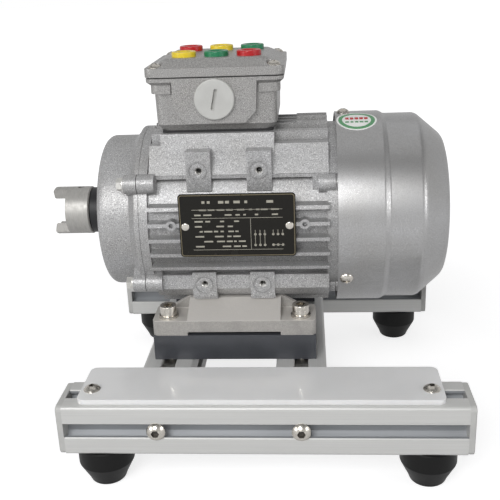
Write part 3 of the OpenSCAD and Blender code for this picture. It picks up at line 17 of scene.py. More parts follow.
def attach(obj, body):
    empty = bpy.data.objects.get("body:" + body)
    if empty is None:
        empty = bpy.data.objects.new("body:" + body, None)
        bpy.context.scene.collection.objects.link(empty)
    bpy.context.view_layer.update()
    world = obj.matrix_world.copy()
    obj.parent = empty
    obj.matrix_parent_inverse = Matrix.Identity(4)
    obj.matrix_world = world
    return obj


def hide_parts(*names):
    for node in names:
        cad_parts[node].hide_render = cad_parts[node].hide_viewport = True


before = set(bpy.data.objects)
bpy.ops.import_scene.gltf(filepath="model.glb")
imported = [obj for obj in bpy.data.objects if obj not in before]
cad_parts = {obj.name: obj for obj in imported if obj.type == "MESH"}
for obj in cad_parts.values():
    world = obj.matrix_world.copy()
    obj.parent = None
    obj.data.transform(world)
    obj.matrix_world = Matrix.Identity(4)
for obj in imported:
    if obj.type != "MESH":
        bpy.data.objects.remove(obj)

LOG = logging.getLogger("motor")
MM = 0.001
GLOSS_SHARE = 0.6
MERGE_MM = 1e-4
BANDS_IN_UNIT = 3.2
CAST_ANGLE = 24.0
CAST_SMOOTH = 40.0
SQUARE_ANGLE = 50.0
SIDES = (-1, 1)
COLUMNS = (-1, 0, 1)
CORNERS = tuple((sx, sy) for sx in SIDES for sy in SIDES)
STAND, ROTOR, DRIVE_BALLS, FAN_BALLS = "stand", "rotor", "drive_balls", "fan_balls"
Point = tuple[float, float]
Colour = tuple[float, float, float]
Value = float | Colour | bpy.types.NodeSocket


class Round(IntEnum):
    """Steps round a circle, from the smallest pieces to the largest."""

    HOLE = 32
    SCREW = 48
    SHAFT = 64
    STOUT = 72
    RING = 96
    SHIELD = 128
    COVER = 160


class Axis(Enum):
    """Main direction that a turned piece or a screw points along."""

    X_MINUS = Vector((-1, 0, 0))
    X_PLUS = Vector((1, 0, 0))
    Y_MINUS = Vector((0, -1, 0))
    Y_PLUS = Vector((0, 1, 0))
    Z_PLUS = Vector((0, 0, 1))
    Z_MINUS = Vector((0, 0, -1))

    def turn(self) -> Matrix:
        """Returns the rotation that takes +Z to this direction."""
        return Vector((0, 0, 1)).rotation_difference(self.value).to_matrix().to_4x4()


END_WAYS = {-1: Axis.X_MINUS, 1: Axis.X_PLUS}
ROW_WAYS = {-1: Axis.Y_MINUS, 1: Axis.Y_PLUS}


class Nodes:
    """Adds shader nodes to one material and joins them."""

    def __init__(self, name: str) -> None:
        """Starts an empty material.

        Args:
            name: The material's name.
        """
        self.material = bpy.data.materials.new(name)
        self.material.use_nodes = True
        self.tree = self.material.node_tree
        self.tree.nodes.clear()
        self.out = self.tree.nodes.new("ShaderNodeOutputMaterial")
        self.shader = self.tree.nodes.new("ShaderNodeBsdfPrincipled")
        self.tree.links.new(self.shader.outputs[0], self.out.inputs[0])
        self.place = self.tree.nodes.new("ShaderNodeTexCoord").outputs["Object"]

    def add(self, kind: str, **values: object) -> bpy.types.Node:
        """Adds a node and sets its plain properties.

        Args:
            kind: The node's type name.
            **values: Properties by name.

        Returns:
            The new node.
        """
        node = self.tree.nodes.new(kind)
        for key, value in values.items():
            setattr(node, key, value)
        return node

    def link(self, source: bpy.types.NodeSocket, target: bpy.types.NodeSocket) -> None:
        """Joins an output to an input."""
        self.tree.links.new(source, target)

    def feed(self, slot: bpy.types.NodeSocket, value: Value) -> None:
        """Sets an input to a number or a colour, or joins an output to it.

        Args:
            slot: The input.
            value: A number, a colour triple or an output.
        """
        if isinstance(value, tuple):
            slot.default_value = (*value, 1.0)
        elif isinstance(value, (int, float)):
            slot.default_value = value
        else:
            self.link(value, slot)

    def mapped(self, scale: Sequence[float], middle: Sequence[float] = (0, 0, 0)) -> bpy.types.NodeSocket:
        """Gives object coordinates with a scale, counted from a point.

        Args:
            scale: Scale along each axis.
            middle: The point in metres.

        Returns:
            The vector output.
        """
        node = self.add("ShaderNodeMapping")
        node.inputs["Location"].default_value = [-c * s for c, s in zip(middle, scale)]
        node.inputs["Scale"].default_value = scale
        self.link(self.place, node.inputs["Vector"])
        return node.outputs[0]

    def noise(
        self, size_mm: float, detail: float = 3.0, stretch: Sequence[float] = (1, 1, 1)
    ) -> bpy.types.NodeSocket:
        """Adds a noise whose features are about a given size.

        Args:
            size_mm: Size of a feature in millimetres.
            detail: Number of octaves.
            stretch: How much longer the features are along each axis.

        Returns:
            The noise's value output.
        """
        node = self.add("ShaderNodeTexNoise")
        node.inputs["Scale"].default_value = 1.0
        node.inputs["Detail"].default_value = detail
        scale = [1.0 / (size_mm * MM * s) for s in stretch]
        self.link(self.mapped(scale), node.inputs["Vector"])
        return node.outputs["Fac"]

    def wave(
        self, width_mm: float, middle: Sequence[float] = (0, 0, 0), **values: object
    ) -> bpy.types.Node:
        """Adds a wave pattern whose bands have a given width.

        Args:
            width_mm: Width of one band in millimetres.
            middle: Point in metres that the pattern is counted from.
            **values: The pattern's properties by name.

        Returns:
            The new node.
        """
        node = self.add("ShaderNodeTexWave", **values)
        node.inputs["Scale"].default_value = 1.0
        scale = [1.0 / (width_mm * MM * BANDS_IN_UNIT)] * 3
        self.link(self.mapped(scale, middle), node.inputs["Vector"])
        return node

    def ramp(
        self, source: bpy.types.NodeSocket, stops: Sequence[tuple[float, Colour]]
    ) -> bpy.types.NodeSocket:
        """Maps a value to colours.

        Args:
            source: The value.
            stops: Places from 0 to 1 with their colours.

        Returns:
            The colour output.
        """
        node = self.add("ShaderNodeValToRGB")
        elements = node.color_ramp.elements
        while len(elements) < len(stops):
            elements.new(0.5)
        for element, (place, colour) in zip(elements, stops):
            element.position = place
            element.color = (*colour, 1.0)
        self.link(source, node.inputs[0])
        return node.outputs[0]

    def span(
        self, source: bpy.types.NodeSocket, low: float, high: float, start: float = 0.3, end: float = 0.7
    ) -> bpy.types.NodeSocket:
        """Maps a value from one range to another.

        Args:
            source: The value.
            low: Result at the start.
            high: Result at the end.
            start: Value that gives the low result.
            end: Value that gives the high result.

        Returns:
            The mapped value.
        """
        node = self.add("ShaderNodeMapRange")
        for key, value in (("From Min", start), ("From Max", end), ("To Min", low), ("To Max", high)):
            node.inputs[key].default_value = value
        self.link(source, node.inputs["Value"])
        return node.outputs[0]

    def math(self, operation: str, a: Value, b: Value = 0.0) -> bpy.types.NodeSocket:
        """Adds a sum, product or other operation on two values.

        Args:
            operation: The operation's name.
            a: A number or an output.
            b: A number or an output.

        Returns:
            The result.
        """
        node = self.add("ShaderNodeMath", operation=operation)
        for slot, value in zip(node.inputs, (a, b)):
            self.feed(slot, value)
        return node.outputs[0]

    def mix(self, share: Value, a: Value, b: Value, blend: str = "MIX") -> bpy.types.NodeSocket:
        """Mixes two colours.

        Args:
            share: Share of the second colour, as a number or an output.
            a: First colour, as a triple or an output.
            b: Second colour, as a triple or an output.
            blend: The way of mixing.

        Returns:
            The mixed colour.
        """
        node = self.add("ShaderNodeMix", data_type="RGBA", blend_type=blend)
        for slot, value in ((node.inputs[0], share), (node.inputs[6], a), (node.inputs[7], b)):
            self.feed(slot, value)
        return node.outputs[2]

    def bump(
        self, height: bpy.types.NodeSocket, depth_mm: float, below: bpy.types.NodeSocket | None = None
    ) -> bpy.types.NodeSocket:
        """Adds a bump.

        Args:
            height: The height pattern, from 0 to 1.
            depth_mm: Depth of the relief in millimetres.
            below: A bump that this one adds to.

        Returns:
            The normal output.
        """
        node = self.add("ShaderNodeBump")
        node.inputs["Distance"].default_value = depth_mm * MM
        self.link(height, node.inputs["Height"])
        if below is not None:
            self.link(below, node.inputs["Normal"])
        return node.outputs[0]

    def put(self, key: str, value: Value) -> None:
        """Sets or links one of the main shader's inputs.

        Args:
            key: The input's name.
            value: A number, a colour triple or an output.
        """
        self.feed(self.shader.inputs[key], value)


@dataclass(frozen=True)
class Finish:
    """A surface's look. Each kind of surface is a subclass that shapes its pattern."""

    name: str
    colour: Colour

    def build(self) -> bpy.types.Material:
        """Returns the material, made once under its name."""
        name = f"{self.name}_look"
        if name in bpy.data.materials:
            return bpy.data.materials[name]
        nodes = Nodes(name)
        self.draw(nodes)
        return nodes.material

    def draw(self, nodes: Nodes) -> None:
        """Draws the surface's pattern into the material.

        Args:
            nodes: The material's nodes.
        """
        nodes.put("Base Color", self.colour)

    def shade(self, factor: float) -> Colour:
        """Returns the colour made lighter or darker by a factor."""
        return tuple(min(max(c * factor, 0.0), 1.0) for c in self.colour)


@dataclass(frozen=True)
class SpeckledPaint(Finish):
    """Silver paint with a fine metallic speckle over a cast or pressed skin."""

    grain_mm: float = 0.5
    skin_mm: float = 2.2
    relief_mm: float = 0.05
    metal: float = 0.35
    rough: float = 0.42
    sparkle: float = 1.0
    cloud_mm: float = 26.0

    def draw(self, nodes: Nodes) -> None:
        """Draws flakes, the skin under them and a faint uneven tone."""
        k = self.sparkle
        flakes = nodes.noise(self.grain_mm, 2.0)
        cloud = nodes.noise(self.cloud_mm, 3.0)
        steps = ((0.30, -0.5), (0.46, -0.1), (0.60, 0.08), (0.72, 0.8))
        tone = nodes.ramp(flakes, [(at, self.shade(1 + change * k)) for at, change in steps])
        dust = nodes.ramp(cloud, [(0.3, (0.90, 0.89, 0.87)), (0.7, (1.0, 1.0, 1.0))])
        nodes.put("Base Color", nodes.mix(1.0, tone, dust, "MULTIPLY"))
        nodes.put("Metallic", self.metal)
        nodes.put("Roughness", nodes.span(flakes, self.rough + 0.12, self.rough - 0.08))
        nodes.put("Specular IOR Level", 0.5)
        skin = nodes.bump(nodes.noise(self.skin_mm, 4.0), self.relief_mm * 3)
        nodes.put("Normal", nodes.bump(flakes, self.relief_mm, skin))


@dataclass(frozen=True)
class CastMetal(Finish):
    """Bare aluminium casting with a dull blasted skin, slow stains, and painted light on the faces that
    point up.
    """

    grain_mm: float = 0.7
    rough: float = 0.48
    metal: float = 0.35
    stain_mm: float = 11.0
    # Painted light: how much lighter the faces that point up are coloured.
    upward: float = 1.75

    def draw(self, nodes: Nodes) -> None:
        """Draws the blasted grain, slow stains and painted light that makes the faces pointing up lighter.
        """
        grain = nodes.noise(self.grain_mm, 4.0)
        stain = nodes.noise(self.stain_mm, 5.0)
        fine = nodes.ramp(grain, [(0.3, self.shade(0.82)), (0.55, self.colour), (0.75, self.shade(1.22))])
        colour = nodes.mix(nodes.span(stain, 0.0, 0.55, 0.48, 0.72), fine, self.shade(0.66))
        # Painted light: faces that point up are mixed towards a lighter colour, as if lit from above.
        parts = nodes.add("ShaderNodeSeparateXYZ")
        nodes.link(nodes.add("ShaderNodeNewGeometry").outputs["Normal"], parts.inputs[0])
        painted_top_light = nodes.span(parts.outputs["Z"], 0.0, 0.85, 0.1, 0.75)
        nodes.put("Base Color", nodes.mix(painted_top_light, colour, self.shade(self.upward)))
        nodes.put("Metallic", self.metal)
        nodes.put("Roughness", nodes.span(grain, self.rough - 0.08, self.rough + 0.16))
        nodes.put("Normal", nodes.bump(grain, 0.09, nodes.bump(nodes.noise(4.0, 3.0), 0.12)))


@dataclass(frozen=True)
class SatinRail(Finish):
    """Clear anodised extrusion with faint lines along one axis."""

    along: int = 0
    rough: float = 0.46
    metal: float = 0.3
    line_mm: float = 0.35
    line_stretch: float = 220.0
    cloud_mm: float = 38.0

    def draw(self, nodes: Nodes) -> None:
        """Draws the die lines and a cloudy sheen."""
        stretch = [1.0, 1.0, 1.0]
        stretch[self.along] = self.line_stretch
        lines = nodes.noise(self.line_mm, 2.0, stretch)
        cloud = nodes.noise(self.cloud_mm, 2.0)
        line_tone = nodes.ramp(lines, [(0.32, self.shade(0.93)), (0.68, self.shade(1.03))])
        colour = nodes.mix(nodes.span(cloud, 0.0, 0.35), line_tone, self.shade(0.94))
        nodes.put("Base Color", colour)
        nodes.put("Metallic", self.metal)
        nodes.put("Roughness", nodes.span(lines, self.rough - 0.05, self.rough + 0.08))
        nodes.put("Normal", nodes.bump(lines, 0.012, nodes.bump(nodes.noise(0.25, 2.0), 0.006)))


@dataclass(frozen=True)
class TurnedMetal(Finish):
    """Turned, drawn or plated metal with fine marks and soft stains."""

    rough: float = 0.28
    metal: float = 1.0
    mark_mm: float = 0.25
    stretch: tuple[float, float, float] = (1.0, 14.0, 14.0)
    stain: float = 0.25
    stain_mm: float = 3.2

    def draw(self, nodes: Nodes) -> None:
        """Draws tool marks, stains and small pits."""
        marks = nodes.noise(self.mark_mm, 2.0, self.stretch)
        stains = nodes.noise(self.stain_mm, 5.0)
        tone = nodes.ramp(marks, [(0.3, self.shade(0.86)), (0.7, self.shade(1.08))])
        stained = nodes.span(stains, 0.0, self.stain, 0.5, 0.75)
        nodes.put("Base Color", nodes.mix(stained, tone, self.shade(0.55)))
        nodes.put("Metallic", self.metal)
        nodes.put("Roughness", nodes.span(stains, self.rough - 0.05, self.rough + 0.16))
        nodes.put("Normal", nodes.bump(marks, 0.008, nodes.bump(nodes.noise(0.9, 3.0), 0.01)))


@dataclass(frozen=True)
class Moulded(Finish):
    """Moulded plastic or rubber with a fine matt skin."""

    rough: float = 0.45
    grain_mm: float = 0.4
    relief_mm: float = 0.02
    dust: float = 0.15
    sheen: float = 0.4
    cloud_mm: float = 14.0

    def draw(self, nodes: Nodes) -> None:
        """Draws the moulded skin, a slow tone and light dust."""
        grain = nodes.noise(self.grain_mm, 3.0)
        slow = nodes.noise(self.cloud_mm, 4.0)
        tone = nodes.ramp(slow, [(0.3, self.shade(0.93)), (0.7, self.shade(1.07))])
        grey = sum(self.colour) / 3 * 0.6 + 0.22
        dusty = nodes.span(grain, 0.0, self.dust, 0.55, 0.8)
        nodes.put("Base Color", nodes.mix(dusty, tone, (grey, grey, grey)))
        nodes.put("Roughness", nodes.span(slow, self.rough - 0.06, self.rough + 0.08))
        nodes.put("Specular IOR Level", self.sheen)
        nodes.put("Normal", nodes.bump(grain, self.relief_mm))


@dataclass(frozen=True)
class MilkyAcrylic(Finish):
    """Milky acrylic sheet that glows at its edges."""

    scuff_mm: float = 0.3
    cloud_mm: float = 30.0
    glow: float = 0.35
    glow_depth_mm: float = 3.0

    def draw(self, nodes: Nodes) -> None:
        """Draws a cloudy, slightly clear body with fine scuffs."""
        scuffs = nodes.noise(self.scuff_mm, 3.0, (9.0, 1.0, 1.0))
        cloud = nodes.noise(self.cloud_mm, 2.0)
        nodes.put("Base Color", nodes.ramp(cloud, [(0.3, self.shade(0.97)), (0.7, self.shade(1.02))]))
        nodes.put("Subsurface Weight", self.glow)
        nodes.shader.inputs["Subsurface Radius"].default_value = (1.0, 0.96, 0.92)
        nodes.put("Subsurface Scale", self.glow_depth_mm * MM)
        nodes.put("Roughness", nodes.span(scuffs, 0.10, 0.24))
        nodes.put("Coat Weight", 0.3)
        nodes.put("Coat Roughness", 0.08)
        nodes.put("Normal", nodes.bump(scuffs, 0.004))


@dataclass(frozen=True)
class Laminated(Finish):
    """Stacked sheets seen from their edges, in planes across X."""

    sheet_mm: float = 0.5

    def draw(self, nodes: Nodes) -> None:
        """Draws the edges of the sheets as bands along X."""
        wave = nodes.wave(self.sheet_mm, wave_type="BANDS", bands_direction="X")
        grain = nodes.noise(0.8, 3.0)
        bands = nodes.ramp(wave.outputs["Fac"], [(0.1, self.shade(0.6)), (0.6, self.shade(1.1))])
        nodes.put("Base Color", nodes.mix(nodes.span(grain, 0.0, 0.5), bands, self.shade(0.7)))
        nodes.put("Metallic", 0.8)
        nodes.put("Roughness", nodes.span(grain, 0.4, 0.6))
        nodes.put("Normal", nodes.bump(wave.outputs["Fac"], 0.04))


@dataclass(frozen=True)
class WoundCopper(Finish):
    """Varnished winding wire, lying round the shaft's axis."""

    wire_mm: float = 0.8
    middle: tuple[float, float, float] = (-0.00825, 0.004, 0.133)
    sway: float = 1.2

    def draw(self, nodes: Nodes) -> None:
        """Draws rings of wire about the shaft and dark varnish between them."""
        wave = nodes.wave(self.wire_mm, self.middle, wave_type="RINGS", rings_direction="X")
        wave.inputs["Distortion"].default_value = self.sway
        stops = [(0.15, self.shade(0.35)), (0.6, self.colour), (0.9, self.shade(1.3))]
        nodes.put("Base Color", nodes.ramp(wave.outputs["Fac"], stops))
        nodes.put("Metallic", 0.6)
        nodes.put("Roughness", nodes.span(nodes.noise(3.0), 0.25, 0.42))
        nodes.put("Coat Weight", 0.5)
        nodes.put("Normal", nodes.bump(wave.outputs["Fac"], 0.15))


class Look:
    """Every finish used on the motor and its base."""

    rail = SatinRail("satin_rail", (0.635, 0.635, 0.62))
    cross_rail = SatinRail("satin_cross_rail", (0.66, 0.66, 0.65), along=1)
    # Painted shade: a darker colour for the inner faces of the slots, where shade falls.
    painted_slot_shade = SatinRail("painted_slot_shade", (0.40, 0.415, 0.435))
    cap = Moulded("rail_cap", (0.54, 0.54, 0.525), rough=0.55)
    foot = Moulded(
        "foot_rubber", (0.010, 0.010, 0.010), rough=0.42, relief_mm=0.03, dust=0.01, sheen=0.16
    )
    acrylic = MilkyAcrylic("milky_acrylic", (0.84, 0.84, 0.84))
    bright_screw = TurnedMetal("bright_screw", (0.60, 0.57, 0.52), rough=0.17, stain=0.12)
    zinc = TurnedMetal("zinc_plate", (0.70, 0.69, 0.66), rough=0.32)
    dark_bar = Moulded("dark_bar", (0.055, 0.058, 0.066), rough=0.38, dust=0.10)
    casting = CastMetal("bare_casting", (0.40, 0.385, 0.365))
    body = SpeckledPaint("silver_speckle", (0.43, 0.43, 0.435))
    cover = SpeckledPaint(
        "cover_paint",
        (0.43, 0.43, 0.435),
        grain_mm=0.45,
        skin_mm=5.0,
        relief_mm=0.01,
        metal=0.8,
        rough=0.33,
        sparkle=0.45,
    )
    box = SpeckledPaint(
        "box_paint", (0.36, 0.355, 0.35), skin_mm=1.6, relief_mm=0.035, metal=0.4, rough=0.36
    )
    plate = Moulded(
        "nameplate_black", (0.010, 0.009, 0.007), rough=0.22, relief_mm=0.01, dust=0.02, sheen=0.2
    )
    gold = TurnedMetal("plate_border", (0.20, 0.17, 0.11), rough=0.3, metal=0.7)
    print_ink = Moulded("plate_print", (0.40, 0.38, 0.32), rough=0.4)
    hub = TurnedMetal("turned_hub", (0.45, 0.44, 0.42), rough=0.42, metal=0.55, stain=0.15)
    shaft = TurnedMetal("turned_shaft", (0.62, 0.62, 0.61), rough=0.25)
    bearing = TurnedMetal("bearing_steel", (0.72, 0.72, 0.73), rough=0.15, stain=0.05)
    rubber = Moulded("seal_rubber", (0.014, 0.014, 0.015), rough=0.42, dust=0.05)
    lid_gasket = Moulded("lid_gasket_cord", (0.16, 0.16, 0.16), rough=0.6, dust=0.08)
    gasket = Moulded("gasket_rubber", (0.016, 0.016, 0.017), rough=0.6, dust=0.08)
    sheets = Laminated("core_sheets", (0.23, 0.23, 0.24))
    cage = CastMetal("cage_cast", (0.70, 0.70, 0.71), grain_mm=0.5, rough=0.4)
    copper = WoundCopper("winding_wire", (0.55, 0.24, 0.09))
    fan = Moulded("fan_plastic", (0.72, 0.71, 0.68), rough=0.5)
    plug = Moulded("plug_plastic", (0.53, 0.53, 0.51), rough=0.42, dust=0.06)
    board = Moulded("board_resin", (0.20, 0.07, 0.035), rough=0.45)
    brass = TurnedMetal("turned_brass", (0.66, 0.46, 0.18), rough=0.22)
    dark_steel = TurnedMetal("dark_steel", (0.08, 0.08, 0.085), rough=0.4)
    yellow = Moulded("yellow_plastic", (0.80, 0.60, 0.03), rough=0.28, dust=0.04, sheen=0.5)
    green = Moulded("green_plastic", (0.012, 0.20, 0.085), rough=0.28, dust=0.04, sheen=0.5)
    red = Moulded("red_plastic", (0.50, 0.010, 0.014), rough=0.28, dust=0.04, sheen=0.5)
    sticker = Moulded("sticker_paper", (0.84, 0.85, 0.83), rough=0.4, dust=0.05)
    sticker_green = Moulded("sticker_ring", (0.10, 0.30, 0.14), rough=0.4, dust=0.05)
    # Painted shade: a dark sheet laid in the screw sockets, where there is only shade.
    recess = Moulded("recess_shade_film", (0.045, 0.038, 0.032), rough=0.35, dust=0.02, sheen=0.4)


class Shape:
    """A closed mesh in the making, in millimetres."""

    FLAT_DEGREES = 0.5
    SHARP_EDGE_W = 0.2

    def __init__(self, mesh: bmesh.types.BMesh | None = None) -> None:
        """Starts empty, or from a mesh made elsewhere."""
        self.bm = mesh or bmesh.new()
        self.edge_w = 0.0

    @classmethod
    def block(cls, low: Sequence[float], high: Sequence[float]) -> Shape:
        """Makes a block between two corners.

        Args:
            low: Lowest corner.
            high: Highest corner.

        Returns:
            The block.
        """
        shape = cls()
        bmesh.ops.create_cube(shape.bm, size=1.0)
        middle = (Vector(low) + Vector(high)) / 2
        size = Vector(high) - Vector(low)
        stretch = Matrix.Translation(middle) @ Matrix.Diagonal((*size, 1.0))
        return shape.turned_to(stretch)

    @classmethod
    def rod(cls, radius: float, low: float, high: float) -> Shape:
        """Makes a round bar about Z between two heights, to cut holes with.

        Args:
            radius: The bar's radius.
            low: Lower end.
            high: Upper end.

        Returns:
            The bar.
        """
        return cls.turned([(0, low), (radius, low), (radius, high), (0, high)], Round.HOLE)

    @classmethod
    def turned(cls, profile: Iterable[Point], steps: int = Round.SHAFT, closed: bool = False) -> Shape:
        """Spins a profile about Z.

        Args:
            profile: Points of radius and height.
            steps: Number of steps round the circle.
            closed: Whether the last point joins the first.

        Returns:
            The turned solid.
        """
        shape = cls()
        bm = shape.bm
        verts = [bm.verts.new((r, 0.0, z)) for r, z in profile]
        pairs = list(zip(verts, verts[1:])) + ([(verts[-1], verts[0])] if closed else [])
        edges = [bm.edges.new(pair) for pair in pairs]
        bmesh.ops.spin(
            bm,
            geom=verts + edges,
            cent=(0, 0, 0),
            axis=(0, 0, 1),
            angle=math.tau,
            steps=steps,
            use_merge=True,
            use_duplicate=False,
        )
        bmesh.ops.remove_doubles(bm, verts=bm.verts, dist=MERGE_MM)
        bmesh.ops.recalc_face_normals(bm, faces=bm.faces)
        return shape

    @classmethod
    def prism(cls, outline: Sequence[Point], height: float) -> Shape:
        """Raises an outline in XY to a height.

        Args:
            outline: Corners in order.
            height: Height along Z.

        Returns:
            The prism.
        """
        shape = cls()
        bm = shape.bm
        face = bm.faces.new([bm.verts.new((x, y, 0.0)) for x, y in outline])
        raised = bmesh.ops.extrude_face_region(bm, geom=[face])["geom"]
        top = [g for g in raised if isinstance(g, bmesh.types.BMVert)]
        bmesh.ops.translate(bm, vec=(0, 0, height), verts=top)
        bmesh.ops.recalc_face_normals(bm, faces=bm.faces)
        return shape

    @classmethod
    def copy_of(cls, node: str) -> Shape:
        """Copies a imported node's mesh, merges it and joins its flat faces.

        Args:
            node: The node's name.

        Returns:
            The copy.
        """
        bm = bmesh.new()
        bm.from_mesh(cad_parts[node].data)
        bmesh.ops.scale(bm, vec=(1 / MM, 1 / MM, 1 / MM), verts=bm.verts)
        bmesh.ops.remove_doubles(bm, verts=bm.verts, dist=MERGE_MM)
        flat = math.radians(cls.FLAT_DEGREES)
        bmesh.ops.dissolve_limit(bm, angle_limit=flat, verts=bm.verts, edges=bm.edges)
        shape = cls(bm)
        shape.edge_w = cls.SHARP_EDGE_W
        return shape

    def moved(self, x: float = 0.0, y: float = 0.0, z: float = 0.0) -> Shape:
        """Shifts the shape and returns it."""
        bmesh.ops.translate(self.bm, vec=(x, y, z), verts=self.bm.verts)
        return self

    def turned_to(self, matrix: Matrix) -> Shape:
        """Turns the shape by a matrix and returns it."""
        bmesh.ops.transform(self.bm, matrix=matrix, verts=self.bm.verts)
        return self

    def rounded(
        self,
        width: float,
        segments: int = 2,
        angle: float = 28.0,
        keep: Callable[[bmesh.types.BMEdge], bool] | None = None,
    ) -> Shape:
        """Bevels the edges that are sharper than an angle.

        Args:
            width: Width of the bevel in millimetres.
            segments: Number of steps across it.
            angle: Smallest angle in degrees between two faces.
            keep: Says which of those edges are bevelled.

        Returns:
            This shape.
        """
        limit = math.radians(angle)
        self.edge_w = min(1.0, width * 0.85) if self.edge_w else 0.0
        sharp = [e for e in self.bm.edges if len(e.link_faces) == 2 and e.calc_face_angle(0.0) > limit]
        bmesh.ops.bevel(
            self.bm,
            geom=[e for e in sharp if keep is None or keep(e)],
            offset=width,
            offset_type="OFFSET",
            segments=segments,
            profile=0.5,
            affect="EDGES",
            clamp_overlap=True,
            material=-1,
        )
        return self

    def joined(self, *others: Shape) -> Shape:
        """Adds the meshes of other shapes to this one and returns it."""
        for other in others:
            mesh = bpy.data.meshes.new("joined")
            other.bm.to_mesh(mesh)
            self.bm.from_mesh(mesh)
            bpy.data.meshes.remove(mesh)
        return self

    def minus(self, *cutters: Shape) -> Shape:
        """Cuts other shapes out of this one and returns it."""
        return self._boolean("DIFFERENCE", cutters)

    def plus(self, *others: Shape) -> Shape:
        """Fuses other shapes with this one and returns it."""
        return self._boolean("UNION", others)

    def within(self, other: Shape) -> Shape:
        """Keeps what lies inside another shape and returns it."""
        return self._boolean("INTERSECT", [other])

    def _boolean(self, operation: str, others: Iterable[Shape]) -> Shape:
        """Runs exact booleans through short-lived objects.

        Args:
            operation: The modifier's operation.
            others: The shapes that cut or join.

        Returns:
            This shape.
        """
        target = self._loose("target")
        tools = [other._loose("tool") for other in others]
        for tool in tools:
            modifier = target.modifiers.new("cut", "BOOLEAN")
            modifier.operation = operation
            modifier.solver = "EXACT"
            modifier.object = tool
        depsgraph = bpy.context.evaluated_depsgraph_get()
        self.bm.clear()
        self.bm.from_object(target, depsgraph)
        for thing in [target, *tools]:
            mesh = thing.data
            bpy.data.objects.remove(thing)
            bpy.data.meshes.remove(mesh)
        bmesh.ops.remove_doubles(self.bm, verts=self.bm.verts, dist=MERGE_MM)
        return self

    def _loose(self, name: str) -> bpy.types.Object:
        """Returns an object that holds a copy of this mesh."""
        mesh = bpy.data.meshes.new(name)
        self.bm.to_mesh(mesh)
        thing = bpy.data.objects.new(name, mesh)
        bpy.context.scene.collection.objects.link(thing)
        return thing

    def copies(self, matrices: Iterable[Matrix]) -> Shape:
        """Returns a new shape with one copy of this one for each matrix."""
        mesh = bpy.data.meshes.new("copies")
        self.bm.to_mesh(mesh)
        result = Shape()
        for matrix in matrices:
            placed = mesh.copy()
            placed.transform(matrix, shape_keys=False)
            result.bm.from_mesh(placed)
            bpy.data.meshes.remove(placed)
        bpy.data.meshes.remove(mesh)
        return result


def arc(middle: Point, radius: float, start: float, end: float, steps: int = 6) -> list[Point]:
    """Lists points on an arc.

    Args:
        middle: Centre of the arc.
        radius: Its radius.
        start: First angle in degrees.
        end: Last angle in degrees.
        steps: Number of steps.

    Returns:
        The points.
    """
    angles = [math.radians(start + (end - start) * k / steps) for k in range(steps + 1)]
    return [(middle[0] + radius * math.cos(a), middle[1] + radius * math.sin(a)) for a in angles]


def ring_of(count: int, radius: float = 1.0, turn: float = 0.0) -> list[Point]:
    """Lists the corners of a regular outline.

    Args:
        count: Number of corners.
        radius: Distance of each corner from the middle.
        turn: Turn of the first corner in degrees.

    Returns:
        The corners.
    """
    return arc((0.0, 0.0), radius, turn, turn + 360.0 * (count - 1) / count, count - 1)


def rounded_outline(width: float, depth: float, radius: float, steps: int = 6) -> list[Point]:
    """Lists the corners of a rectangle with round corners, centred.

    Args:
        width: Size along the first axis.
        depth: Size along the second axis.
        radius: Corner radius.
        steps: Steps in each corner.

    Returns:
        The corners in order.
    """
    x, y = width / 2 - radius, depth / 2 - radius
    corners = ((x, y, 0), (-x, y, 90), (-x, -y, 180), (x, -y, 270))
    return [p for cx, cy, a in corners for p in arc((cx, cy), radius, a, a + 90, steps)]


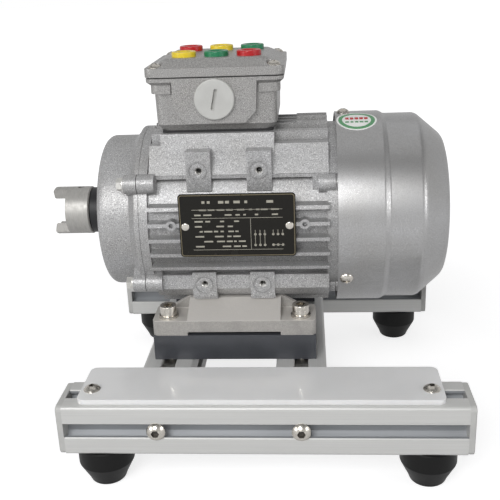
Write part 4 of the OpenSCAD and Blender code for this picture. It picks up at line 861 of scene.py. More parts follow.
class EvenCorners:
    """Corner normals of a cast piece, so that cut facets of a round surface shade evenly."""

    ROUND_DOT = 0.996
    ROUND_SPREAD_MM = 0.15
    SAME_DOT = 0.9997
    BROAD_DOT = 0.3
    NEAR_DOT = 0.6

    def __init__(self, mesh: bpy.types.Mesh, limit: float, thin: float) -> None:
        """Sorts the faces of the mesh.

        Args:
            mesh: The piece's mesh, in metres.
            limit: Largest angle in degrees between facets of one surface.
            thin: Width in millimetres under which a face is part of a rounded edge.
        """
        self.mesh = mesh
        self.limit = math.cos(math.radians(limit))
        self.spots = [v.co.copy() for v in mesh.vertices]
        self.normals = [f.normal.copy() for f in mesh.polygons]
        self.areas = [f.area for f in mesh.polygons]
        self.thin = [self.width(f) < thin * MM for f in mesh.polygons]
        self.round = [self.on_hub(f) for f in mesh.polygons]
        self.around: dict[int, list[int]] = {}
        for face in mesh.polygons:
            for vert in face.vertices:
                self.around.setdefault(vert, []).append(face.index)

    def width(self, face: bpy.types.MeshPolygon) -> float:
        """Returns a face's area over its longest side."""
        spots = [self.spots[v] for v in face.vertices]
        return face.area / max((a - b).length for a, b in zip(spots, spots[1:] + spots[:1]))

    def outward(self, spot: Vector) -> Vector:
        """Returns the direction away from the shaft's line at a spot."""
        return Vector((0.0, spot.y - Place.motor_y * MM, spot.z - Place.axis_z * MM))

    def on_hub(self, face: bpy.types.MeshPolygon) -> bool:
        """Tells whether a face is a facet of a round surface about the shaft."""
        reach = [self.outward(self.spots[v]).length for v in face.vertices]
        away = self.outward(face.center).normalized()
        spread = max(reach) - min(reach)
        return abs(face.normal.dot(away)) > self.ROUND_DOT and spread < self.ROUND_SPREAD_MM * MM

    def own(self, face: int, vert: int) -> Vector:
        """Returns the normal that a broad face has at one of its corners."""
        if self.round[face]:
            away = self.outward(self.spots[vert]).normalized()
            return away if self.normals[face].dot(away) > 0 else -away
        kept: list[Vector] = []
        for other in self.around[vert]:
            normal = self.normals[other]
            level = not self.thin[other] and normal.dot(self.normals[face]) > self.limit
            if level and all(normal.dot(k) < self.SAME_DOT for k in kept):
                kept.append(normal)
        return sum(kept, Vector()).normalized() if kept else self.normals[face]

    def corner(self, face: int, vert: int) -> Vector:
        """Returns the normal of one corner."""
        if not self.thin[face]:
            return self.own(face, vert)
        lean = {k: self.normals[k].dot(self.normals[face]) for k in self.around[vert]}
        broad = [k for k, dot in lean.items() if not self.thin[k] and dot > self.BROAD_DOT]
        if broad:
            return self.own(max(broad, key=lambda k: self.areas[k]), vert)
        near = [self.normals[k] for k, dot in lean.items() if dot > self.NEAR_DOT]
        return sum(near, Vector()).normalized()

    def apply(self) -> None:
        """Sets the normals of every corner."""
        loops = [Vector()] * len(self.mesh.loops)
        for face in self.mesh.polygons:
            for loop, vert in zip(face.loop_indices, face.vertices):
                loops[loop] = self.corner(face.index, vert)
        self.mesh.normals_split_custom_set(loops)


def place(
    shape: Shape,
    name: str,
    finish: Finish,
    body: str = STAND,
    nodes: Sequence[str] = (),
    smooth: float = 32.0,
    inner: tuple[Finish, Callable[[Vector], bool]] | None = None,
) -> bpy.types.Object:
    """Turns a shape into a finished piece of the motor.

    Args:
        shape: The shape, in millimetres.
        name: The piece's name.
        finish: Its finish.
        body: The body that it moves with.
        nodes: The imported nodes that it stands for.
        smooth: Largest angle in degrees that is shaded smooth.
        inner: A second finish, and the test of a face's middle in millimetres that gives it.

    Returns:
        The piece.
    """
    mesh = bpy.data.meshes.new(name)
    bmesh.ops.scale(shape.bm, vec=(MM, MM, MM), verts=shape.bm.verts)
    shape.bm.to_mesh(mesh)
    shape.bm.free()
    mesh.shade_smooth()
    mesh.materials.append(finish.build())
    if inner:
        mesh.materials.append(inner[0].build())
        for face in mesh.polygons:
            face.material_index = int(inner[1](face.center / MM))
    piece = bpy.data.objects.new(name, mesh)
    bpy.context.scene.collection.objects.link(piece)
    if shape.edge_w:
        EvenCorners(mesh, smooth, shape.edge_w).apply()
    else:
        mesh.set_sharp_from_angle(angle=math.radians(smooth))
        weighted = piece.modifiers.new("even_shading", "WEIGHTED_NORMAL")
        weighted.keep_sharp = True
    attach(piece, body)
    if nodes:
        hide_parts(*nodes)
    LOG.info("%s: %d faces, %s", name, len(mesh.polygons), finish.name)
    return piece


def dress(node: str, finish: Finish) -> None:
    """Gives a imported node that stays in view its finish.

    Args:
        node: The node's name.
        finish: Its finish.
    """
    material = finish.build()
    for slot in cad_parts[node].material_slots:
        slot.material = material
    LOG.info("%s: dressed in %s", node, finish.name)


@dataclass(frozen=True)
class Screw:
    """A screw with its head above z = 0 and its shank below, in millimetres."""

    DOME_SHARE = 0.85
    DOME_STEPS = 10

    head_r: float
    head_h: float
    shank_r: float
    length: float

    def domed(self) -> Shape:
        """Returns the shank and a head like a flat dome, with no recess."""
        rise = self.head_h * self.DOME_SHARE
        dome = (self.head_r * self.head_r + rise * rise) / (2 * rise)
        low = math.degrees(math.asin((dome - rise) / dome))
        profile = [(0, -self.length), (self.shank_r, -self.length), (self.shank_r, 0), (self.head_r, 0)]
        profile += arc((0, self.head_h - dome), dome, low, 90, self.DOME_STEPS)
        profile[-1] = (0.0, self.head_h)
        return Shape.turned(profile, Round.SCREW)


@dataclass(frozen=True)
class SocketScrew(Screw):
    """Cylinder-head screw with a hexagon socket."""

    key_r: float
    edge: float = 0.45
    floor_share: float = 0.45

    def shape(self) -> Shape:
        """Returns the whole screw."""
        e, r, h, s = self.edge, self.head_r, self.head_h, self.shank_r
        profile = [(0, -self.length), (s - e, -self.length), (s, e - self.length), (s, 0)]
        profile += [(r, 0), (r, h - e)] + arc((r - e, h - e), e, 0, 90, 3)[1:]
        profile += [(self.key_r + e, h), (self.key_r, h - e / 2), (0, h - e / 2)]
        socket = Shape.prism(ring_of(6, self.key_r), h).moved(z=h * self.floor_share)
        return Shape.turned(profile, Round.SCREW).minus(socket)


@dataclass(frozen=True)
class ButtonScrew(Screw):
    """Domed screw with a hexagon socket."""

    key_r: float
    floor_share: float = 0.4
    # Gap, wall and height of the dark cup of painted shade in the socket.
    shade_film: tuple[float, float, float] = (0.02, 0.07, 0.6)

    def shape(self) -> Shape:
        """Returns the whole screw."""
        socket = Shape.prism(ring_of(6, self.key_r), self.head_h)
        return self.domed().minus(socket.moved(z=self.head_h * self.floor_share))

    def socket_shade_film(self) -> Shape:
        """Returns a dark cup of painted shade on the floor and the lower walls of the socket."""
        gap, inner, height = self.shade_film
        hollow = Shape.prism(ring_of(6, self.key_r - inner), 1.0).moved(z=inner - gap)
        cup = Shape.prism(ring_of(6, self.key_r - gap), height).minus(hollow)
        return cup.moved(z=self.head_h * self.floor_share + gap / 2)


@dataclass(frozen=True)
class PanScrew(Screw):
    """Domed screw with a cross recess."""

    cross_reach: float = 2.1
    cross_half: float = 0.42

    def shape(self) -> Shape:
        """Returns the whole screw."""
        a, b, h = self.cross_reach, self.cross_half, self.head_h
        arms = [Shape.block((-x, -y, h / 2), (x, y, h * 2)) for x, y in ((a, b), (b, a))]
        return self.domed().minus(*arms)


@dataclass(frozen=True)
class FlangeScrew(Screw):
    """Hexagon screw with a round flange. The head's radius is that of its corners."""

    flange_r: float
    flange_h: float
    flange_edge: float = 0.5
    crown_drop: float = 0.9
    dish_depth: float = 0.3

    def shape(self) -> Shape:
        """Returns the whole screw."""
        r, s, f, t = self.head_r, self.shank_r, self.flange_r, self.flange_h
        top = t + self.head_h
        head = Shape.prism(ring_of(6, r), top)
        crown = [(0, -1), (r * 1.2, -1), (r * 1.2, top - self.crown_drop), (r * 0.82, top), (0, top)]
        head.within(Shape.turned(crown, Round.SCREW))
        washer = [(0, -self.length), (s, -self.length), (s, 0), (f, 0), (f, t * 0.6)]
        washer += [(f - self.flange_edge, t), (0, t)]
        low = top - self.dish_depth
        dish = Shape.turned([(0, low), (r * 0.45, low), (r * 0.62, top + 0.2), (0, top + 0.2)], Round.HOLE)
        return Shape.turned(washer, Round.SCREW).joined(head.minus(dish))


@dataclass
class Place:
    """Where the motor and its base stand in the row frame, in millimetres."""

    base_x: float = 10.75
    rail_y: float = 95.0
    rail_top: float = 54.0
    rail_mid: float = 39.0
    motor_x: float = -8.25
    motor_y: float = 4.0
    axis_z: float = 133.0
    shoulder: float = -80.0

    def on_motor(self, x: float = 0.0, y: float = 0.0, z: float = 0.0, way: Axis = Axis.Z_PLUS) -> Matrix:
        """Gives the matrix for a point counted from the feet centre on the shaft's axis.

        Args:
            x: Distance along the shaft.
            y: Distance to the rear.
            z: Height above the shaft.
            way: Where the piece's +Z goes.

        Returns:
            The matrix.
        """
        return Matrix.Translation((self.motor_x + x, self.motor_y + y, self.axis_z + z)) @ way.turn()

    def on_shaft(self) -> Matrix:
        """Returns the matrix that lays a turned piece's +Z along the shaft."""
        return self.on_motor(way=Axis.X_PLUS)

    def round_shaft(self, angle: float, radius: float, x: float, outward: bool = False) -> Matrix:
        """Gives the matrix for a point at an angle above the front horizontal.

        Args:
            angle: Angle in degrees, 90 at the top.
            radius: Distance from the shaft.
            x: Distance along the shaft.
            outward: Whether +Z points away from the shaft and +X along it. Otherwise +Z points
                along the shaft and +X towards it.

        Returns:
            The matrix.
        """
        a = math.radians(angle)
        out = Vector((0.0, -math.cos(a), math.sin(a)))
        along = Vector((1.0, 0.0, 0.0))
        first, upward = (along, out) if outward else (-out, along)
        turn = Matrix((first, upward.cross(first), upward)).transposed().to_4x4()
        spot = out * radius
        return Matrix.Translation((self.motor_x + x, self.motor_y + spot.y, self.axis_z + spot.z)) @ turn

    def at_base(self, x: float, y: float, z: float, way: Axis = Axis.Z_PLUS) -> Matrix:
        """Gives the matrix for a point counted from the base's middle."""
        return Matrix.Translation((self.base_x + x, y, z)) @ way.turn()


@dataclass
class BaseFrame:
    """Slotted rails with their end caps, screws and rubber feet."""

    at: Place = field(default_factory=Place)
    edge: float = 0.25
    edge_angle: float = 40.0
    smooth: float = 24.0
    rail_w: float = 30.0
    rail_l: float = 222.0
    slot_reach: float = 14.4
    cap_t: float = 3.5
    cap_corner: float = 3.0
    cap_edge: float = 0.9
    peg: tuple[float, float] = (3.0, 10.0)
    foot_x: float = 92.0
    foot_size: tuple[float, float] = (16.0, 24.0)
    foot_bore: tuple[float, float, float] = (2.6, 5.5, 8.0)
    foot_tread: tuple[float, float] = (8.2, 2.4)
    frame_half: float = 110.0
    screw_x: tuple[float, float] = (-59.0, 21.0)
    frame_screw: ButtonScrew = ButtonScrew(5.3, 3.3, 3.0, length=48.0, key_r=2.35)
    foot_screw: ButtonScrew = ButtonScrew(4.75, 2.75, 2.5, length=22.0, key_r=1.75)

    def build(self) -> None:
        """Builds every piece of the base."""
        self.rails()
        self.caps()
        self.feet()
        self.screws()

    def rails(self) -> None:
        """Softens the four rails and dresses them."""
        for node, row in (("front_rail", -1), ("rear_rail", 1)):
            # The long rails' slots get a darker colour of painted shade.
            self.rail(node, Look.rail, (Look.painted_slot_shade, lambda spot, row=row: self.in_slot(spot, row)))
        for node in ("left_cross_rail", "right_cross_rail"):
            self.rail(node, Look.cross_rail)

    def rail(
        self, node: str, finish: Finish, inner: tuple[Finish, Callable[[Vector], bool]] | None = None
    ) -> None:
        """Softens one rail's edges and dresses it.

        Args:
            node: The rail's node.
            finish: Its finish.
            inner: The darker finish of painted shade in its slots, and the test of a face's middle that
                gives it.
        """
        shape = Shape.copy_of(node).rounded(self.edge, 2, self.edge_angle)
        place(shape, f"{node}_body", finish, nodes=[node], smooth=self.smooth, inner=inner)

    def in_slot(self, spot: Vector, row: int) -> bool:
        """Tells whether a spot of a long rail lies below its outer faces."""
        across = (abs(spot.y - row * self.at.rail_y), abs(spot.z - self.at.rail_mid))
        return max(across) < self.slot_reach

    def caps(self) -> None:
        """Makes the four moulded end caps."""
        cap = Shape.prism(rounded_outline(self.rail_w, self.rail_w, self.cap_corner, 5), self.cap_t)
        outside = self.cap_t - 0.01
        cap.rounded(self.cap_edge, 4, 60, keep=lambda e: all(v.co.z > outside for v in e.verts))
        r, length = self.peg
        peg = [(0, -length), (r * 0.8, -length), (r, -length + 0.8), (r, 0.4), (0, 0.4)]
        cap.joined(Shape.turned(peg, Round.HOLE))
        middle = self.at.rail_mid
        spots = [
            self.at.at_base(end * self.rail_l / 2, row * self.at.rail_y, middle, END_WAYS[end])
            for end, row in CORNERS
        ]
        place(cap.copies(spots), "rail_caps", Look.cap, nodes=["rail_end_caps"])

    def foot_spots(self, z: float, way: Axis) -> list[Matrix]:
        """Lists the places of the four feet at a height above the floor."""
        return [self.at.at_base(sx * self.foot_x, sy * self.at.rail_y, z, way) for sx, sy in CORNERS]

    def feet(self) -> None:
        """Makes the tapered rubber feet and the screws sunk in them."""
        (r, h), (bore, sink, floor), (tread, curve) = self.foot_size, self.foot_bore, self.foot_tread
        profile = [(bore, floor), (sink, floor), (sink, 0.5), (sink + 0.5, 0.0), (tread, 0.0)]
        profile += arc((tread, curve), curve, -90, -25, 5)[1:]
        profile += [(11.2, 3.6), (r - 0.25, 12.4), (r, 13.2), (r, h - 0.6), (r - 0.6, h), (bore, h)]
        feet = Shape.turned(profile, Round.STOUT, closed=True).copies(self.foot_spots(0.0, Axis.Z_PLUS))
        place(feet, "rubber_feet_body", Look.foot, nodes=["rubber_feet"])
        screws = self.foot_screw.shape().copies(self.foot_spots(floor, Axis.Z_MINUS))
        place(screws, "foot_screw_set", Look.zinc, nodes=["foot_screws"])
        dress("foot_nuts", Look.zinc)

    def screws(self) -> None:
        """Makes the bright domed screws that hold the frame together."""
        middle = self.at.rail_mid
        spots = [
            self.at.at_base(x, row * self.frame_half, middle, ROW_WAYS[row])
            for x in self.screw_x
            for row in SIDES
        ]
        screws = self.frame_screw.shape().copies(spots)
        place(screws, "frame_screw_set", Look.bright_screw, nodes=["frame_screws"])
        # A dark cup of painted shade in each socket.
        place(self.frame_screw.socket_shade_film().copies(spots), "frame_screw_recess_shade", Look.recess)


@dataclass
class LabelPlate:
    """Milky plate on the front rail, held by two screws."""

    at: Place = field(default_factory=Place)
    size: tuple[float, float, float] = (202.0, 38.0, 3.0)
    corner: float = 4.0
    edge: float = 0.25
    hole_r: float = 2.55
    middle_y: float = -88.0
    shift: float = -2.0
    screw_x: float = 94.5
    screw: ButtonScrew = ButtonScrew(4.75, 2.75, 2.5, length=10.0, key_r=1.75)

    def build(self) -> None:
        """Builds the plate and its screws."""
        w, d, t = self.size
        plate = Shape.prism(rounded_outline(w, d, self.corner, 6), t)
        row = -self.at.rail_y - self.middle_y
        holes = [Shape.rod(self.hole_r, -1, t + 1).moved(s * self.screw_x, row) for s in SIDES]
        plate.minus(*holes).rounded(self.edge, 2, SQUARE_ANGLE)
        plate.moved(self.at.base_x + self.shift, self.middle_y, self.at.rail_top)
        place(plate, "milky_plate", Look.acrylic, nodes=["label_plate"])
        top = self.at.rail_top + t
        spots = [self.at.at_base(s * self.screw_x + self.shift, -self.at.rail_y, top) for s in SIDES]
        screws = self.screw.shape().copies(spots)
        place(screws, "label_screw_pair", Look.bright_screw, nodes=["label_screws"])
        # A dark cup of painted shade in each socket.
        place(self.screw.socket_shade_film().copies(spots), "label_screw_recess_shade", Look.recess)
        dress("label_nuts", Look.zinc)


@dataclass
class MotorMounting:
    """Spacer bars, bare cast feet and their fasteners."""

    at: Place = field(default_factory=Place)
    bar_edge: float = 0.5
    foot_edge: float = 1.1
    shaft_height: float = 63.0
    bolt_x: float = 40.0
    bolt_y: float = 50.0
    lug_t: float = 9.5
    washer_hole_r: float = 3.3
    washer_r: float = 6.0
    washer_t: float = 1.6
    washer_edge: float = 0.3
    bolt: SocketScrew = SocketScrew(5.0, 6.0, 3.0, length=30.0, key_r=2.9)

    def build(self) -> None:
        """Builds the mounting."""
        for node in ("front_spacer_bar", "rear_spacer_bar"):
            bar = Shape.copy_of(node).rounded(self.bar_edge, 2, SQUARE_ANGLE)
            place(bar, f"{node}_body", Look.dark_bar, nodes=[node])
        for node in ("front_motor_foot", "rear_motor_foot"):
            foot = Shape.copy_of(node).rounded(self.foot_edge, 3, CAST_ANGLE)
            place(foot, f"{node}_body", Look.casting, nodes=[node], smooth=CAST_SMOOTH)
        top = self.lug_t - self.shaft_height + self.washer_t
        spots = [self.at.on_motor(sx * self.bolt_x, sy * self.bolt_y, top) for sx, sy in CORNERS]
        place(self.bolt.shape().copies(spots), "foot_bolt_set", Look.bright_screw, nodes=["foot_bolts"])
        under = [m @ Matrix.Translation((0, 0, -self.washer_t)) for m in spots]
        place(self.washer().copies(under), "foot_washer_set", Look.bright_screw, nodes=["foot_washers"])
        dress("foot_bolt_nuts", Look.zinc)
        dress("motor_foot_screws", Look.zinc)

    def washer(self) -> Shape:
        """Returns one washer, lying on z = 0."""
        hole, r, t, e = self.washer_hole_r, self.washer_r, self.washer_t, self.washer_edge
        profile = [(hole, 0), (r, 0), (r, t - e), (r - e, t), (hole, t)]
        return Shape.turned(profile, Round.SCREW, closed=True)


@dataclass
class StatorHousing:
    """Finned housing casting with its side bosses."""

    at: Place = field(default_factory=Place)
    edge: float = 0.45
    hole_x: float = 17.5
    hole_z: float = 35.0
    boss_depth: float = 45.5
    thread_depth: float = 44.6
    thread_r: tuple[float, float, float] = (1.75, 2.08, 2.4)
    thread_half: float = 0.3
    thread_pitch: float = 0.8
    thread_turns: int = 7
    groove_r: tuple[float, float] = (4.6, 5.6)
    groove_depth: float = 0.8
    chamfer_r: tuple[float, float] = (2.12, 2.9)

    def build(self) -> None:
        """Builds the housing."""
        shape = Shape.copy_of("stator_housing").rounded(self.edge, 2, CAST_ANGLE).minus(self.spot_faces())
        place(shape, "housing_body", Look.body, nodes=["stator_housing"], smooth=22)
        place(self.thread_bores(), "boss_threads", Look.zinc)

    def boss_spots(self, depth: float) -> list[Matrix]:
        """Lists the places of the side holes at a distance from the shaft's plane."""
        return [
            self.at.on_motor(sx * self.hole_x, side * depth, sz * self.hole_z, ROW_WAYS[side])
            for side in SIDES
            for sx, sz in CORNERS
        ]

    def spot_faces(self) -> Shape:
        """Returns the shallow rings and the chamfers that are cut round the side holes."""
        (narrow, wide), (inner, outer) = self.chamfer_r, self.groove_r
        profile = [(0, -0.9), (narrow, -0.9), (wide, -0.15), (inner, -0.15), (inner, -self.groove_depth)]
        profile += [(outer, -self.groove_depth), (outer, 1.0), (0, 1.0)]
        return Shape.turned(profile, Round.SCREW).copies(self.boss_spots(self.boss_depth))

    def thread_bores(self) -> Shape:
        """Returns the bright thread turns just inside the side holes."""
        (tip, root, outer), half = self.thread_r, self.thread_half
        profile = [(root, -3 * half), (tip, -2 * half), (root, -half), (outer, -2 * half)]
        turns = Shape.turned(profile, Round.HOLE, closed=True)
        steps = [Matrix.Translation((0, 0, -self.thread_pitch * k)) for k in range(self.thread_turns)]
        return turns.copies(steps).copies(self.boss_spots(self.thread_depth))


@dataclass
class Nameplate:
    """Black plate with a thin border and generic marks, held by two rivets."""

    at: Place = field(default_factory=Place)
    size: tuple[float, float] = (66.5, 37.5)
    thick: float = 1.0
    corner: float = 2.0
    edge: float = 0.15
    face: float = 59.8
    middle: tuple[float, float] = (5.0, 6.9)
    rivet_in: float = 3.6
    rivet_z: float = 6.6
    border_in: tuple[float, float] = (0.6, 1.0)
    rule_t: float = 0.22
    rule_in: float = 7.5
    rules: tuple[float, float, float] = (9.35, 4.4, -14.55)
    first_row: float = 13.15
    rows: int = 9
    row_pitch: float = 3.0
    head_gaps: tuple[float, float] = (1.2, 0.8)
    head_rows: int = 3
    text_left: float = -24.25
    text_right: tuple[float, float] = (23.75, 5.0)
    text_h: tuple[float, float] = (1.5, 0.85)
    word: tuple[float, float] = (1.4, 5.2)
    word_gap: tuple[float, float] = (0.7, 2.6)
    blank_share: float = 0.24
    sketch_x: tuple[float, float] = (12.8, 23.0)
    sketch_y: float = -8.6
    seed: int = 7

    def build(self) -> None:
        """Builds the plate, its marks and its rivets."""
        w, h = self.size
        outline = rounded_outline(w, h, self.corner, 5)
        plate = Shape.prism(outline, self.thick).moved(z=-self.thick).rounded(self.edge, 1, 60)
        spot = self.at.on_motor(self.middle[0], -self.face, self.middle[1], Axis.Y_MINUS)
        flat = [spot @ self.upright(spot)]
        place(plate.copies(flat), "nameplate_body", Look.plate, nodes=["nameplate"])
        place(self.border().copies(flat), "nameplate_border", Look.gold)
        place(self.marks().copies(flat), "nameplate_marks", Look.print_ink)
        ends = [self.middle[0] + s * (w / 2 - self.rivet_in) for s in SIDES]
        spots = [self.at.on_motor(x, -self.face, self.rivet_z, Axis.Y_MINUS) for x in ends]
        place(self.rivet().copies(spots), "rivet_pair", Look.bright_screw, nodes=["nameplate_rivets"])

    @staticmethod
    def rivet() -> Shape:
        """Returns one domed rivet, its head resting on z = 0."""
        shank = [(0, -6), (1.4, -6), (1.4, 0), (2.4, 0)]
        return Shape.turned(shank + arc((1.6, 0.25), 0.8, 0, 90, 4) + [(0, 1.1)], Round.HOLE)

    @staticmethod
    def upright(matrix: Matrix) -> Matrix:
        """Returns the quarter turn about a face's own axis that lays its X along the shaft."""
        for quarter in range(4):
            turn = Matrix.Rotation(quarter * math.pi / 2, 4, "Z")
            right = (matrix @ turn).to_3x3() @ Vector((1, 0, 0))
            if right.x > 0.99:
                return turn
        return Matrix.Identity(4)

    def border(self) -> Shape:
        """Returns the thin light line round the plate."""
        (w, h), (outer, inner) = self.size, self.border_in
        line = Shape.prism(rounded_outline(w - 2 * outer, h - 2 * outer, 1.6, 5), 0.06)
        hollow = Shape.prism(rounded_outline(w - 2 * inner, h - 2 * inner, 1.3, 5), 2.0)
        return line.minus(hollow.moved(z=-1.0))

    def dash(self, x: float, y: float, length: float, height: float) -> Shape:
        """Returns one printed bar with its lower left corner at x, y."""
        return Shape.block((x, y, -0.02), (x + length, y + height, 0.05))

    def marks(self) -> Shape:
        """Returns generic dashes, ruled lines and two connection sketches."""
        rng = random.Random(self.seed)
        (w, h), t = self.size, self.rule_t
        wide = w - 2 * self.rule_in
        parts = [self.dash(-wide / 2, y, wide, t) for y in self.rules]
        parts.append(self.dash(self.rule_in, self.rules[-1], t, h / 2))
        for row in range(self.rows):
            below = row >= self.head_rows
            gaps = self.head_gaps[0] * (row > 0) + self.head_gaps[1] * below
            y = self.first_row - row * self.row_pitch - gaps
            x, end = self.text_left, self.text_right[below]
            while x < end - 1.5:
                length = min(rng.uniform(*self.word), end - x)
                if rng.random() > self.blank_share:
                    parts.append(self.dash(x, y, length, self.text_h[row > 0]))
                x += length + rng.uniform(*self.word_gap)
        for star, x in enumerate(self.sketch_x):
            parts += self.sketch(x, self.sketch_y, bool(star))
        return Shape().joined(*parts)

    def sketch(self, x: float, y: float, star: bool) -> list[Shape]:
        """Returns dots and lines of a generic connection sketch.

        Args:
            x: Middle along the plate.
            y: Middle in height.
            star: Whether the lower dots are joined.

        Returns:
            The bars and dots.
        """
        pitch, half, line = 2.7, 3.2, 0.25
        columns = [x + pitch * k for k in COLUMNS]
        dot = Shape.prism(ring_of(12, 0.75), 0.07).moved(z=-0.02)
        parts = [dot.copies([Matrix.Translation((c, y + s * half, 0)) for c in columns for s in SIDES])]
        if star:
            parts.append(self.dash(x - pitch, y - 3.3, 2 * pitch, line))
        else:
            parts += [self.dash(c - 0.12, y - half, line, 2 * half) for c in columns]
        return parts + [self.dash(c - 0.12, y + half, line, 2.6) for c in columns]


@dataclass
class EndShield:
    """Drive-end shield with its four lugs, and the hexagon screws of both shields."""

    at: Place = field(default_factory=Place)
    mouth: float = -53.0
    hole_r: float = 6.6
    sunk_r: float = 13.5
    sunk: float = 0.3
    front_t: float = 4.0
    wall_t: float = 6.0
    drum_r: float = 47.5
    drum_corner: float = 5.0
    rim_r: float = 53.0
    rim_corner: float = 1.1
    spigot_r: float = 46.95
    spigot_l: float = 4.0
    cavity_r: float = 43.0
    bearing_boss_r: float = 20.0
    bearing_r: float = 16.02
    bearing_end: float = 16.0
    step_r: float = 13.0
    lug_angles: tuple[float, ...] = (31.5, -38.0, 148.5, 218.0)
    lug_circle: float = 55.0
    lug_r: float = 5.6
    lug_l: float = 8.0
    lug_gap: float = 0.2
    lug_edge: float = 0.5
    web: tuple[float, float, float] = (8.5, 5.0, 0.25)
    bore_r: float = 2.6
    front_screw: FlangeScrew = FlangeScrew(4.0, 3.2, 2.5, length=16.0, flange_r=4.6, flange_h=0.9)
    rear_screw: FlangeScrew = FlangeScrew(4.0, 3.2, 2.5, length=13.0, flange_r=4.6, flange_h=0.9)
    rear_angles: tuple[float, ...] = (31.5, -50.0, 148.5, 230.0)
    rear_circle: float = 51.0
    rear_seat: float = 66.2

    def build(self) -> None:
        """Builds the shield and the screws."""
        shield = self.shield()
        place(shield, "drive_shield_body", Look.body, nodes=["drive_end_shield"], smooth=CAST_SMOOTH)
        self.screws()

    def lug_spots(self) -> list[Matrix]:
        """Lists the places of the shield's lugs."""
        seat = self.mouth - self.lug_l
        return [self.at.round_shaft(a, self.lug_circle, seat) for a in self.lug_angles]

    def shell(self) -> Shape:
        """Returns the shield without its lugs, turned about Z."""
        s, m = self.at.shoulder, self.mouth
        sunk, corner, drum, rim = self.sunk, self.drum_corner, self.drum_r, self.rim_r
        front = [(self.hole_r, s + sunk), (self.sunk_r, s + sunk), (self.sunk_r + 0.7, s)]
        front += [(drum - corner - 0.5, s)] + arc((drum - corner, s + corner), corner, -90, 0, 8)
        flare = [(drum, m - 8.4), (drum + 0.2, m - 7.0), (rim - 1.4, m - 3.6)]
        flare += arc((rim - self.rim_corner, m - 2.4), self.rim_corner, -40, 0, 3)
        flare += [(rim, m - 0.35), (rim - 0.4, m)]
        spigot, wall, seat = m + self.spigot_l, s + self.wall_t, s + self.bearing_end
        inner = [(self.spigot_r, m), (self.spigot_r, spigot), (self.cavity_r, spigot)]
        inner += [(self.cavity_r - 0.6, wall), (self.bearing_boss_r, wall), (self.bearing_boss_r, seat)]
        inner += [(self.bearing_r, seat), (self.bearing_r, wall), (self.step_r, wall)]
        inner += [(self.step_r, s + self.front_t), (self.hole_r, s + self.front_t)]
        return Shape.turned(front + flare + inner, Round.SHIELD, closed=True)

    def lug(self) -> Shape:
        """Returns one lug with its web towards the shaft."""
        r, top, e = self.lug_r, self.lug_l - self.lug_gap, self.lug_edge
        reach, half, low = self.web
        web = Shape.block((0, -half, low), (reach, half, top))
        web.rounded(0.4, 2, SQUARE_ANGLE, keep=lambda e: all(v.co.z < low + 0.05 for v in e.verts))
        return Shape.turned([(0, 0), (r - e, 0), (r, e), (r, top), (0, top)], Round.SCREW).plus(web)

    def shield(self) -> Shape:
        """Returns the shield's shell with its four lugs."""
        spots = self.lug_spots()
        shell = self.shell().turned_to(self.at.on_shaft()).plus(self.lug().copies(spots))
        return shell.minus(Shape.rod(self.bore_r, -1, self.lug_l + 1).copies(spots))

    def screws(self) -> None:
        """Makes the hexagon screws of both shields."""
        flip = Matrix.Rotation(math.pi, 4, "X")
        front = self.front_screw.shape().copies([m @ flip for m in self.lug_spots()])
        behind = [self.at.round_shaft(a, self.rear_circle, self.rear_seat) for a in self.rear_angles]
        rear = self.rear_screw.shape().copies(behind)
        place(front.joined(rear), "end_screw_set", Look.zinc, nodes=["end_shield_screws"])


@dataclass
class SealRing:
    """Black ring between the hub and the shield."""

    at: Place = field(default_factory=Place)
    length: float = 12.85
    shield_gap: float = 0.3
    flange_r: float = 14.5
    flange_t: float = 6.5
    flange_edge: float = 0.6
    neck_r: float = 11.0
    lip_r: float = 13.5
    bore_r: tuple[float, float] = (5.53, 6.03)
    bore_step: float = 7.14

    def build(self) -> None:
        """Builds the ring."""
        a, b = self.at.shoulder - self.length, self.at.shoulder - self.shield_gap
        (bore, seat), r, e, neck = self.bore_r, self.flange_r, self.flange_edge, self.neck_r
        edge = a + self.flange_t
        flange = [(bore, a), (r - e, a), (r, a + e), (r, edge - e), (r - 0.4, edge), (neck, edge + 0.7)]
        lip = [(neck, b - 2.2), (self.lip_r, b - 0.4), (self.lip_r, b), (neck, b), (seat, b - 2)]
        step = [(seat, a + self.bore_step), (bore, a + self.bore_step)]
        ring = Shape.turned(flange + lip + step, Round.RING, closed=True)
        place(ring.turned_to(self.at.on_shaft()), "seal_ring", Look.rubber, ROTOR, ["shaft_seal"])


